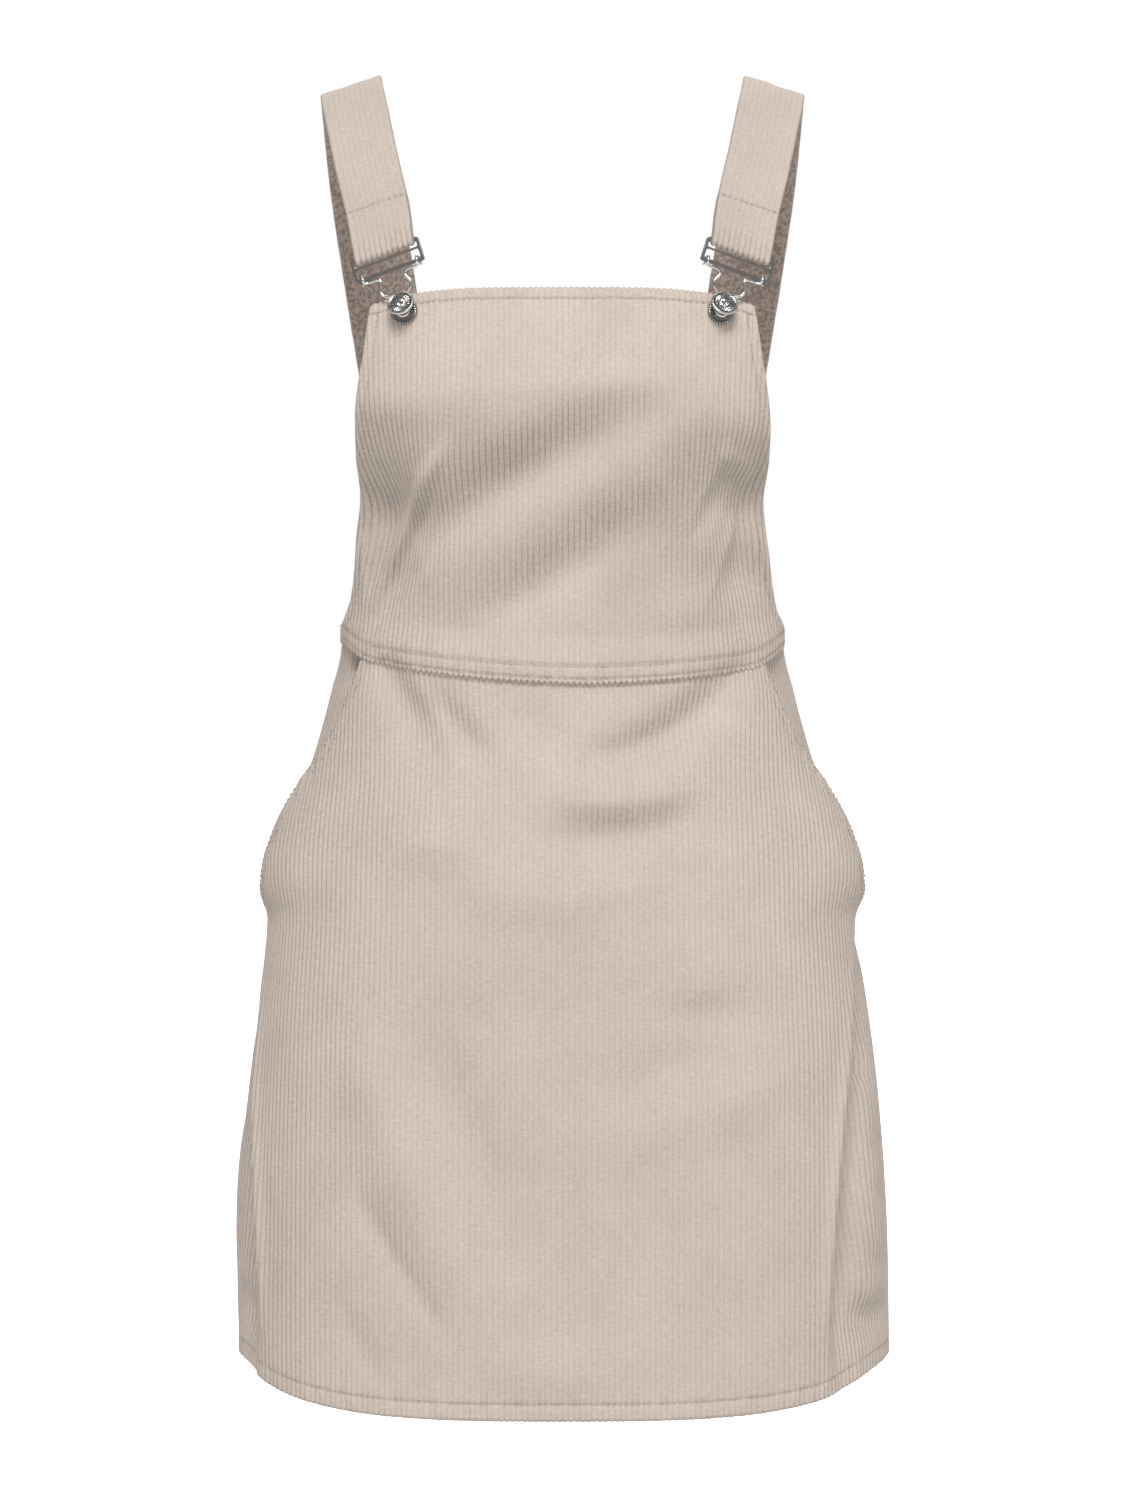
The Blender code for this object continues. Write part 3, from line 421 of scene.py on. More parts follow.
def seam_rise(reach: Array) -> Array:
    """Height of the waist seam above its lowest point."""
    share = np.minimum(np.abs(reach - SEAM_LOW_REACH) / SEAM_RISE_REACH, 1.0)
    rise = SEAM_SIDE_RISE * share**SEAM_RISE_POWER
    own = np.abs(reach)
    pulled = ease(own, *SEAM_PULL_GROWS) * (1 - ease(own, *SEAM_PULL_FADES))
    return rise + SEAM_PULL * pulled


def lapped(above_seam: Array) -> Array:
    """How far the bodice's lower edge laps over the skirt, from 0 to 1."""
    return 1 - ease(above_seam, *LAP_LEAVES)


# ---- creases and bends


class Crease(NamedTuple):
    """A soft ridge (+) or trough (-) along a curve through three places, each a reach and a height."""

    start: Array
    middle: Array
    end: Array
    rise: float
    width: float


class Bend(NamedTuple):
    """A place where the wales swing aside by a shift along the reach."""

    reach: float
    height: float
    reach_width: float
    height_width: float
    shift: float


CREASE_SPANS = 10
CREASE_END = 0.15
CREASE_FULLNESS = 0.8


def creases(*rows: Sequence[float]) -> tuple[Crease, ...]:
    """Creases from rows of their eight numbers in millimetres."""
    return tuple(Crease(row[:2], row[2:4], row[4:6], *row[6:]) for row in metres(*rows))


def bends(*rows: Sequence[float]) -> tuple[Bend, ...]:
    """Bends from rows of their five numbers in millimetres."""
    return tuple(Bend(*row) for row in metres(*rows))


def crease_depth(creases: Sequence[Crease], reach: Array, height: Array) -> Array:
    """Sum of the creases' heights at each place.

    Args:
        creases: The creases of one panel.
        reach: Places' reach, in the creases' own sense.
        height: Places' height.

    Returns:
        How far each place stands out.
    """
    total = np.zeros(np.broadcast(reach, height).shape)
    for crease in creases:
        start, middle, end = crease[:3]
        margin = 3 * crease.width
        low = np.minimum(np.minimum(start, middle), end) - margin
        high = np.maximum(np.maximum(start, middle), end) + margin
        near = (reach > low[0]) & (reach < high[0]) & (height > low[1]) & (height < high[1])
        if not near.any():
            continue
        r, h = reach[near], height[near]
        best, place = np.full(r.shape, 1e9), np.zeros(r.shape)
        knots = np.linspace(0.0, 1.0, CREASE_SPANS + 1)[:, None]
        control = 2 * middle - (start + end) / 2
        line = (1 - knots) ** 2 * start + 2 * knots * (1 - knots) * control + knots**2 * end
        for k, (a, b) in enumerate(zip(line, line[1:])):
            along = b - a
            t = np.clip(((r - a[0]) * along[0] + (h - a[1]) * along[1]) / (along @ along), 0, 1)
            gap = np.hypot(r - a[0] - t * along[0], h - a[1] - t * along[1])
            closer = gap < best
            best = np.where(closer, gap, best)
            place = np.where(closer, (k + t) / CREASE_SPANS, place)
        arch = np.sin(math.pi * np.clip(place, 0, 1)) ** CREASE_FULLNESS
        fade = CREASE_END + (1 - CREASE_END) * arch
        total[near] += crease.rise * fade * bump(best, crease.width)
    return total


def bend_shift(bends: Sequence[Bend], reach: Array, height: Array) -> Array:
    """How far the wales swing aside at each place."""
    total = np.zeros(np.broadcast(reach, height).shape)
    for b in bends:
        beside = bump(reach - b.reach, b.reach_width)
        total = total + b.shift * beside * bump(height - b.height, b.height_width)
    return total


BIB_CREASES = creases(
    (-98, 74, -30, 116, 66, 166, -7.4, 19.5), (-85, 174, 0, 178, 85, 175, 1.8, 13),
    (-78, 11, -5, 57, 66, 104, -3.8, 17), (-74, 136, -103, 88, -134, 30, 6.2, 5.8),
    (-146, 96, -118, 94, -87, 84, -13.5, 26), (-140, 56, -118, 54, -100, 44, -7, 24),
    (148, 104, 121, 102, 94, 112, -12.5, 24), (142, 64, 122, 60, 106, 64, -8, 26),
    (-140, 160, -112, 162, -80, 160, 1.4, 14), (142, 150, 116, 152, 86, 156, 1.4, 14),
    (49, 29, 88, 36, 132, 40, 2, 16), (84, 60, 106, 96, 128, 126, 1.8, 8),
    (100, 134, 114, 126, 132, 124, 2, 5.5), (96, 196, 50, 205, -60, 204, 1.4, 18),
)
SKIRT_CREASES = creases(
    (-122, 4, -103, -28, -74, -65, -7, 13.5), (-88, -14, -67, -41, -38, -66, -5.2, 11.2),
    (-100, -2, -82, -30, -62, -56, 1.6, 7), (-114, -100, -83, -106, -52, -100, 3.4, 17),
    (123, -1, 67, -43, 12, -60, -7.8, 13), (-9, -77, 39, -80, 105, -67, 5, 13),
    (-26, -106, 36, -108, 87, -91, -3.2, 14), (-70, -132, -14, -144, 48, -132, 1.8, 18),
    (55, -215, 89, -216, 131, -209, -2.6, 13), (-136, -212, -110, -297, -56, -405, 3.6, 18),
    (-94, -210, -63, -287, -16, -376, -3.4, 21), (-132, -328, -104, -373, -69, -422, -2.2, 7),
    (-143, -391, -133, -419, -110, -449, -1.5, 8), (20, -266, 88, -240, 152, -208, -2.4, 17),
    (36, -302, 95, -278, 157, -248, 1.8, 18), (-57, -425, 0, -438, 72, -432, 1.6, 18),
    (-39, -33, -11, -42, -2, -57, -2.2, 14), (214, -250, 222, -262, 236, -268, -3, 6),
    (200, -412, 222, -420, 246, -412, -5, 12), (-250, -404, -232, -424, -214, -430, -4, 9),
    (222, -300, 236, -306, 252, -300, -2.4, 6), (224, -336, 238, -345, 254, -342, -2.6, 6.5),
    (214, -376, 232, -386, 250, -380, -2.2, 6), (-262, -300, -270, -340, -266, -390, 2, 8),
)
SKIRT_BENDS = bends(
    (-88, -10, 34, 40, -6.2), (104, -10, 30, 34, 4), (-232, -430, 30, 50, -6), (226, -400, 30, 50, 6),
    (205, -330, 26, 50, -3),
)
BIB_BENDS = bends(
    (-122, 92, 26, 44, 10.5), (-70, 125, 22, 45, -2.2), (122, 94, 26, 44, -8.5),
)
BACK_SKIRT_CREASES = creases(
    (-120, -12, -80, -46, -48, -76, -3, 14), (118, -14, 74, -40, 36, -66, -2.8, 13),
    (-100, -90, -60, -100, -10, -96, 2.6, 22), (104, -96, 60, -104, 14, -100, 2.4, 20),
    (-60, -206, 0, -198, 66, -208, -2.2, 16), (-130, -240, -96, -310, -70, -390, 2.6, 20),
    (140, -230, 106, -300, 86, -370, -2, 18), (30, -300, 40, -370, 26, -440, 1.8, 20),
)
BACK_BIB_CREASES = creases(
    (-110, 96, -60, 80, 0, 78, -2.6, 15), (108, 102, 60, 88, 10, 70, -2.4, 13),
    (-90, 48, -30, 44, 50, 52, 2.4, 14), (-128, 60, -118, 84, -120, 112, -2, 9),
    (126, 48, 116, 74, 120, 100, -2, 9),
)


# ---- mesh building


def linked(name: str, data: bpy.types.ID) -> Piece:
    """Make an object of some data and put it into the scene."""
    piece = bpy.data.objects.new(name, data)
    bpy.context.scene.collection.objects.link(piece)
    return piece


@dataclass
class MeshParts:
    """Vertices, faces and cloth coordinates gathered for one mesh."""

    points: list[Array] = field(default_factory=list)
    cloth_uv: list[Array] = field(default_factory=list)
    faces: list[tuple[Array, int]] = field(default_factory=list)
    count: int = 0

    def add_grid(self, points: Array, cloth_uv: Array | None = None) -> Array:
        """Add a grid of vertices and return their numbers in the grid's own shape."""
        more = points.size // 3
        self.points.append(points.reshape(-1, 3))
        self.cloth_uv.append(np.zeros((more, 2)) if cloth_uv is None else cloth_uv.reshape(-1, 2))
        first, self.count = self.count, self.count + more
        return first + np.arange(more).reshape(points.shape[:-1])

    def add_faces(self, corners: Array, material: int = 0, flip: bool = False) -> None:
        """Add faces that all have the same number of corners, turned over where flip is true."""
        corners = np.asarray(corners, int)
        if corners.size:
            corners = corners.reshape(-1, corners.shape[-1])
            self.faces.append((corners[:, ::-1] if flip else corners, material))

    def to_object(self, name: str, materials: Sequence[Material]) -> Piece:
        """Make the object, smooth, with its cloth coordinates as a UV map.

        Args:
            name: The piece's name.
            materials: Its materials, in the order that the faces count them.

        Returns:
            The object, linked to the scene.
        """
        mesh = bpy.data.meshes.new(name)
        points, cloth_uv = np.concatenate(self.points), np.concatenate(self.cloth_uv)
        loops = np.concatenate([corners.ravel() for corners, _ in self.faces])
        sizes, slots = np.concatenate([
            np.full((len(corners), 2), (corners.shape[1], slot)) for corners, slot in self.faces
        ]).T
        mesh.vertices.add(len(points))
        mesh.vertices.foreach_set("co", points.astype(np.float32).ravel())
        mesh.loops.add(len(loops))
        mesh.loops.foreach_set("vertex_index", loops.astype(np.int32))
        mesh.polygons.add(len(sizes))
        mesh.polygons.foreach_set("loop_start", (np.cumsum(sizes) - sizes).astype(np.int32))
        mesh.polygons.foreach_set("material_index", slots.astype(np.int32))
        layer = mesh.uv_layers.new(name="Cloth")
        mesh.update(calc_edges=True)
        layer.data.foreach_set("uv", cloth_uv[loops].astype(np.float32).ravel())
        for material in materials:
            mesh.materials.append(material)
        mesh.shade_smooth()
        mesh.validate()
        return linked(name, mesh)


def around(index: Array) -> Array:
    """Faces between the rings of an index grid, whose last axis runs round each ring."""
    near, far = index[..., :-1, :], index[..., 1:, :]
    return np.stack([near, far, np.roll(far, -1, -1), np.roll(near, -1, -1)], axis=-1)


def strips(index: Array) -> tuple[Array, Array]:
    """Faces between the rows of an index grid whose row ends may repeat a vertex.

    Args:
        index: Vertex numbers by row and column.

    Returns:
        Four-cornered and three-cornered faces.
    """
    a, b, c, d = index[:-1, :-1], index[1:, :-1], index[1:, 1:], index[:-1, 1:]
    upper, lower = a != d, b != c
    quads = np.stack([a, b, c, d], axis=-1)[upper & lower]
    up_only = np.stack([a, b, d], axis=-1)[upper & ~lower]
    down_only = np.stack([a, b, c], axis=-1)[lower & ~upper]
    return quads, np.concatenate([up_only, down_only])


NORMAL_STEP = 0.0012


def surface_normals(place: Callable, reach: Array, height: Array, flip: bool) -> Array:
    """Unit outward normals of a surface given as place(reach, height)."""
    along = place(reach + NORMAL_STEP, height) - place(reach - NORMAL_STEP, height)
    up = place(reach, height + NORMAL_STEP) - place(reach, height - NORMAL_STEP)
    return unit(np.cross(up, along) if flip else np.cross(along, up))


# ---- finishes


class NodeKit:
    """Short calls for laying out a shader node tree."""

    def __init__(self, tree: Tree) -> None:
        """Work on one tree."""
        self.tree = tree

    def add(self, kind: str, values: dict | None = None, **settings: object) -> Node:
        """Add a node, set its plain properties and fill its sockets."""
        node = self.tree.nodes.new(kind)
        for key, value in settings.items():
            setattr(node, key, value)
        self.fill(node, values or {})
        return node

    def fill(self, node: Node, values: dict) -> None:
        """Feed a node's sockets, each with another socket or with a plain value."""
        for place, value in values.items():
            if isinstance(value, Socket):
                self.tree.links.new(value, node.inputs[place])
            elif value is not None:
                node.inputs[place].default_value = value

    def math(self, operation: str, first: object, second: object = None) -> Socket:
        """Add a Math node and return its result."""
        return self.add("ShaderNodeMath", {0: first, 1: second}, operation=operation).outputs[0]

    def times(self, first: object, second: object) -> Socket:
        """Multiply two values."""
        return self.math("MULTIPLY", first, second)

    def plus(self, first: object, second: object) -> Socket:
        """Add two values."""
        return self.math("ADD", first, second)

    def centred(self, value: Socket, share: float) -> Socket:
        """Swing a noise about 0 instead of 0.5 and scale it."""
        return self.times(self.math("SUBTRACT", value, 0.5), share)

    def noise(self, vector: Socket, scale: float, detail: float, roughness: float) -> Socket:
        """Add a noise texture."""
        values = {"Vector": vector, "Scale": scale, "Detail": detail, "Roughness": roughness}
        return self.add("ShaderNodeTexNoise", values).outputs["Fac"]

    def stretched(self, vector: Socket, scale: Triple) -> Socket:
        """Scale a vector along its axes."""
        return self.add("ShaderNodeMapping", {"Vector": vector, "Scale": scale}).outputs["Vector"]

    def axes(self, vector: Socket) -> Sequence[Socket]:
        """Split a vector into its three parts."""
        return self.add("ShaderNodeSeparateXYZ", {0: vector}).outputs

    def span(self, value: Socket, old: Pair, new: Pair) -> Socket:
        """Map a value from one range to another, held at its ends."""
        values = dict(enumerate((value, *old, *new)))
        return self.add("ShaderNodeMapRange", values).outputs["Result"]

    def mix(self, share: object, first: object, second: object, blend: str = "MIX") -> Socket:
        """Mix two colours, whose sockets come after those for numbers and vectors."""
        values = {0: share, 6: first, 7: second}
        return self.add("ShaderNodeMix", values, data_type="RGBA", blend_type=blend).outputs[2]

    def bumped(self, height: Socket, strength: float, depth: float) -> Socket:
        """Turn a height into a normal through a Bump node."""
        values = {"Strength": strength, "Distance": depth, "Height": height}
        return self.add("ShaderNodeBump", values).outputs["Normal"]


def rgba(colour: Triple) -> tuple[float, ...]:
    """Add a full alpha to a colour."""
    return (*colour, 1.0)


def grey(value: float) -> tuple[float, ...]:
    """A neutral colour."""
    return rgba((value, value, value))


def socket_kind(value: object) -> str:
    """Type of the socket for a default value: a tuple is a colour, and None stands for a vector."""
    if value is None:
        return "NodeSocketVector"
    return "NodeSocketColor" if isinstance(value, tuple) else "NodeSocketFloat"


def new_group(name: str, inputs: dict, outputs: dict) -> tuple[NodeKit, Sequence[Socket], Node]:
    """Make an empty shader group with named sockets.

    Args:
        name: The group's name.
        inputs: Default value of each input.
        outputs: A value of each output's kind.

    Returns:
        The group's kit, the sockets that its inputs come in by, and the node that takes its results.
    """
    tree = bpy.data.node_groups.new(name, "ShaderNodeTree")
    for label, value in inputs.items():
        socket = tree.interface.new_socket(label, in_out="INPUT", socket_type=socket_kind(value))
        if value is not None:
            socket.default_value = value
    for label, value in outputs.items():
        tree.interface.new_socket(label, in_out="OUTPUT", socket_type=socket_kind(value))
    kit = NodeKit(tree)
    return kit, kit.add("NodeGroupInput").outputs, kit.add("NodeGroupOutput")


def build_pile_and_shade_group() -> Tree:
    """Pile on wales: darker grooves (own colour and painted shade), fibres along them, and painted shade
    and light by slope.
    """
    kit, given, result = new_group("wale_pile_and_painted_shade", {
        "Cloth": None, "Place": None,
        "Crest Colour": rgba((0.7, 0.6, 0.5)), "Groove Colour": rgba((0.4, 0.33, 0.27)),
        "Groove Tone And Shade": 0.5, "Mottle": 0.5, "Facing": None, "Painted Slope Shade": 0.5,
    }, {"Colour": (), "Height": 0.0})
    cloth = given["Cloth"]
    wander = kit.noise(kit.stretched(cloth, (1.0, 0.9, 1.0)), 1.0, 2.0, 0.5)
    phase = kit.math("FRACT", kit.plus(kit.axes(cloth)["X"], kit.centred(wander, 0.30)))
    from_crest = kit.math("ABSOLUTE", kit.math("SUBTRACT", phase, 0.5))
    groove = kit.span(from_crest, (0.27, 0.48), (0.0, 1.0))
    fibres = kit.noise(kit.stretched(cloth, (1.7, 1.0, 1.0)), 1.5, 3.0, 0.70)
    ticks = kit.noise(kit.stretched(cloth, (0.55, 2.8, 1.0)), 1.2, 3.0, 0.65)
    patches = kit.noise(given["Place"], 26.0, 3.0, 0.6)
    facing = kit.axes(given["Facing"])
    # Painted shade and light by slope: below 0 where the surface faces down, a little above 0 where it
    # faces up, strongest where it faces the camera.
    tilt_shade = kit.span(facing["Z"], (-0.55, 0.12), (-0.55, 0.12))
    tilt_shade = kit.times(tilt_shade, kit.math("ABSOLUTE", facing["Y"]))
    aside = kit.math("ABSOLUTE", facing["X"])
    # Painted shade in the grooves, stronger where the surface faces down or turns aside.
    groove_shade = kit.span(tilt_shade, (-0.28, 0.0), (0.85, 0.0))
    groove_shade = kit.plus(groove_shade, kit.span(aside, (0.30, 0.90), (0.0, 1.5)))
    # The grooves' darkness: partly the cloth's own colour, partly painted shade.
    groove_tone_and_shade_mask = kit.times(groove, kit.plus(given["Groove Tone And Shade"], groove_shade))
    colour = kit.mix(groove_tone_and_shade_mask, given["Crest Colour"], given["Groove Colour"])
    mottle = kit.plus(kit.centred(fibres, 0.44), kit.centred(ticks, 0.40))
    mottle = kit.times(kit.plus(mottle, kit.centred(patches, 0.22)), given["Mottle"])
    # The painted slope shade joins the random mottle in the colour.
    total = kit.plus(mottle, kit.times(tilt_shade, given["Painted Slope Shade"]))
    tone = kit.add("ShaderNodeCombineColor", {channel: kit.plus(total, 1.0) for channel in range(3)})
    kit.fill(result, {
        "Colour": kit.mix(1.0, colour, tone.outputs[0], "MULTIPLY"),
        "Height": kit.plus(kit.times(fibres, 0.7), kit.times(ticks, 0.5)),
    })
    return kit.tree


def build_speckle_group() -> Tree:
    """Plain weave with slubs: the cloth's wrong side and the thread's twist."""
    kit, given, result = new_group("woven_speckle", {
        "Place": None, "Ground": rgba((0.4, 0.32, 0.28)), "Fleck": rgba((0.6, 0.52, 0.47)),
        "Weave Scale": 900.0, "Slub Scale": 260.0,
    }, {"Colour": (), "Height": 0.0})
    place, scale = given["Place"], given["Slub Scale"]
    slubs = kit.add("ShaderNodeTexNoise", {"Vector": place, "Scale": scale, "Detail": 3.0})
    weave = kit.add("ShaderNodeTexVoronoi", {"Vector": place, "Scale": given["Weave Scale"]})
    slub = slubs.outputs["Fac"]
    fleck = kit.span(slub, (0.40, 0.62), (0.0, 1.0))
    kit.fill(result, {
        "Colour": kit.mix(fleck, given["Ground"], given["Fleck"]),
        "Height": kit.math("SUBTRACT", kit.times(slub, 0.6), weave.outputs["Distance"]),
    })
    return kit.tree


def build_wear_group() -> Tree:
    """Plated metal: bright worn ridges, dark hollows, fine handling marks."""
    kit, given, result = new_group("plated_wear", {
        "Place": None, "Pointiness": 0.5, "Bright": grey(0.8), "Hollow": grey(0.05), "Hollow Level": 0.48,
        "Roughness": 0.2,
    }, {"Colour": (), "Roughness": 0.0, "Height": 0.0})
    marks = kit.noise(given["Place"], 1400.0, 4.0, 0.7)
    cloud = kit.noise(given["Place"], 240.0, 2.0, 0.5)
    above = kit.math("SUBTRACT", given["Pointiness"], given["Hollow Level"])
    bright = kit.span(kit.plus(above, kit.centred(cloud, 0.05)), (-0.03, 0.03), (0.0, 1.0))
    kit.fill(result, {
        "Colour": kit.mix(bright, given["Hollow"], given["Bright"]),
        "Roughness": kit.plus(given["Roughness"], kit.centred(marks, 0.16)),
        "Height": marks,
    })
    return kit.tree


def place_group(kit: NodeKit, name: str, build: Callable[[], Tree], values: dict) -> Sequence[Socket]:
    """Put a shared group, built when first asked for, into a material's tree and return its outputs."""
    tree = bpy.data.node_groups.get(name) or build()
    return kit.add("ShaderNodeGroup", values, node_tree=tree).outputs


def start_material(name: str) -> tuple[Material, NodeKit, Node]:
    """Make a material and return it with its kit and its Principled shader."""
    material = bpy.data.materials.new(name)
    material.use_nodes = True
    return material, NodeKit(material.node_tree), material.node_tree.nodes["Principled BSDF"]


@dataclass(frozen=True)
class PileFinish:
    """The corduroy's face, with painted shade in its grooves and painted shade and light by slope."""

    name: str
    crest: Triple
    groove: Triple
    # How dark the grooves are: their own colour and painted shade.
    groove_tone_and_shade: float = 0.26
    mottle: float = 1.0
    sheen: float = 0.18
    # Painted shade and light by slope: darker where the cloth faces down, lighter where it faces up.
    painted_slope_shade: float = 0.60

    def make(self) -> Material:
        """Build the material."""
        material, kit, shader = start_material(self.name)
        coordinates = kit.add("ShaderNodeTexCoord").outputs
        pile = place_group(kit, "wale_pile_and_painted_shade", build_pile_and_shade_group, {
            "Cloth": coordinates["UV"], "Place": coordinates["Object"],
            "Facing": kit.add("ShaderNodeNewGeometry").outputs["Normal"],
            "Crest Colour": rgba(self.crest), "Groove Colour": rgba(self.groove),
            "Groove Tone And Shade": self.groove_tone_and_shade, "Mottle": self.mottle, "Painted Slope Shade": self.painted_slope_shade,
        })
        kit.fill(shader, {
            "Base Color": pile["Colour"], "Roughness": 0.96, "Specular IOR Level": 0.12,
            "Sheen Weight": self.sheen, "Sheen Roughness": 0.55, "Sheen Tint": rgba((0.92, 0.91, 0.93)),
            "Normal": kit.bumped(pile["Height"], 0.55, 0.0006),
        })
        return material


@dataclass(frozen=True)
class WovenFinish:
    """The cloth's wrong side, and thread."""

    name: str
    ground: Triple
    fleck: Triple
    weave_scale: float = 1300.0
    slub_scale: float = 420.0
    bump: float = 0.4

    def make(self) -> Material:
        """Build the material."""
        material, kit, shader = start_material(self.name)
        weave = place_group(kit, "woven_speckle", build_speckle_group, {
            "Place": kit.add("ShaderNodeTexCoord").outputs["Object"],
            "Ground": rgba(self.ground), "Fleck": rgba(self.fleck),
            "Weave Scale": self.weave_scale, "Slub Scale": self.slub_scale,
        })
        kit.fill(shader, {
            "Base Color": weave["Colour"], "Roughness": 0.95, "Specular IOR Level": 0.15,
            "Sheen Weight": 0.1, "Normal": kit.bumped(weave["Height"], self.bump, 0.0005),
        })
        return material


@dataclass(frozen=True)
class MetalFinish:
    """Plated steel."""

    name: str
    bright: Triple
    hollow: Triple
    hollow_level: float
    roughness: float

    def make(self) -> Material:
        """Build the material."""
        material, kit, shader = start_material(self.name)
        wear = place_group(kit, "plated_wear", build_wear_group, {
            "Place": kit.add("ShaderNodeTexCoord").outputs["Object"],
            "Pointiness": kit.add("ShaderNodeNewGeometry").outputs["Pointiness"],
            "Bright": rgba(self.bright), "Hollow": rgba(self.hollow),
            "Hollow Level": self.hollow_level, "Roughness": self.roughness,
        })
        kit.fill(shader, {
            "Base Color": wear["Colour"], "Roughness": wear["Roughness"], "Metallic": 1.0,
            "Normal": kit.bumped(wear["Height"], 0.05, 0.0001),
        })
        return material


# The face carries painted slope shade and painted shade in its grooves.
FACE = PileFinish("corduroy_face", (0.625, 0.533, 0.464), (0.44, 0.370, 0.318))
# The straps' copy of the face: no painted slope shade and weaker painted groove shade, so faces turned up
# are not painted lighter.
STRAP_FACE = PileFinish("corduroy_strap_face", FACE.crest, FACE.groove, groove_tone_and_shade=0.16, painted_slope_shade=0.0)
WRONG_SIDE = WovenFinish("corduroy_wrong_side", (0.335, 0.262, 0.222), (0.560, 0.475, 0.420))
THREAD = WovenFinish("sewing_thread", (0.50, 0.42, 0.35), (0.66, 0.57, 0.49), 2600.0, 900.0, 0.3)
BUCKLE = MetalFinish("dark_nickel", (0.26, 0.25, 0.24), (0.060, 0.057, 0.054), 0.47, 0.34)
WIRE = MetalFinish("bright_nickel_wire", (0.72, 0.72, 0.71), (0.30, 0.30, 0.30), 0.44, 0.14)
BUTTON = MetalFinish("antiqued_nickel", (0.66, 0.65, 0.64), (0.045, 0.042, 0.040), 0.496, 0.20)
TACK = MetalFinish("tack_nickel", (0.45, 0.44, 0.43), (0.12, 0.12, 0.12), 0.46, 0.3)


@dataclass
class Wardrobe:
    """Every material, made once."""

    face: Material
    strap_face: Material
    wrong_side: Material
    thread: Material
    buckle: Material
    wire: Material
    button: Material
    tack: Material

    @classmethod
    def made(cls) -> Wardrobe:
        """Make all the finishes."""
        return cls(*(f.make() for f in (FACE, STRAP_FACE, WRONG_SIDE, THREAD, BUCKLE, WIRE, BUTTON, TACK)))


# ---- wales, hems and stitches


@dataclass(frozen=True)
class Wales:
    """The cloth's ribs."""

    pitch: float = 0.00363
    rise: float = 0.00036
    level: float = 0.62
    roundness: float = 2.4
    steps: tuple[float, ...] = (0.0, 0.13, 0.31, 0.50, 0.69, 0.87)

    def columns(self, low: float, high: float) -> Array:
        """Reaches of the mesh columns between two reaches, with some to spare."""
        first, last = math.floor(low / self.pitch) - 3, math.ceil(high / self.pitch) + 3
        return (np.arange(first, last + 1)[:, None] + np.array(self.steps)).ravel() * self.pitch

    def crest(self, reach: Array) -> Array:
        """Height of a rib across its width, from 0 in the groove to 1 on its crest."""
        return 1 - np.abs(2 * ((reach / self.pitch) % 1.0) - 1) ** self.roundness


WALES = Wales()
RIPPLES = ((0.0113, 0.42, 0.3), (0.0187, 0.33, 1.9), (0.0310, 0.25, 4.1))


def ripple(along: Array, seed: float) -> Array:
    """Small uneven puckers along a seam, from -1 to 1."""
    waves = (share * np.sin(2 * math.pi * along / length + turn * seed) for length, share, turn in RIPPLES)
    return sum(waves)


@dataclass(frozen=True)
class Hem:
    """A turned edge: how far in its stitch rows lie, how thick it is and how much it puckers."""

    stitches: tuple[float, ...] = ()
    groove: float = 0.00055
    groove_width: float = 0.00075
    flatten: float = 0.45
    pucker: float = 0.00025
    roll: float = 0.00065
    roll_width: float = 0.0007
    extra: float = 0.0008
    extra_fade: float = 0.0015
    edge_flattens: float = 0.55
    edge_width: float = 0.0010

    def fullness(self, inward: Array) -> Array:
        """How full the wales stay at a distance from the edge."""
        full = 1 - self.edge_flattens * bump(inward, self.edge_width)
        for row in self.stitches:
            full = full - self.flatten * bump(inward - row, 1.4 * self.groove_width)
        return np.clip(full, 0.0, 1.0)

    def relief(self, inward: Array, along: Array, seed: float) -> Array:
        """How far the edge's roll, stitch grooves and puckers raise the cloth."""
        out = -self.roll * bump(inward, self.roll_width)
        for k, row in enumerate(self.stitches):
            out = out - self.groove * bump(inward - row, self.groove_width)
            out = out + self.pucker * ripple(along, seed + k) * bump(inward - row / 2, 0.75 * row)
        return out

    def thickness(self, inward: Array) -> Array:
        """How much thicker the turned cloth makes the edge."""
        if not self.stitches:
            return np.zeros(inward.shape)
        last = self.stitches[-1]
        return self.extra * (1 - ease(inward, last, last + self.extra_fade))


@dataclass(frozen=True)
class Thread:
    """One stitch's size."""

    length: float = 0.0026
    gap: float = 0.0012
    radius: float = 0.00034
    sides: int = 6
    rise: float = 0.00016


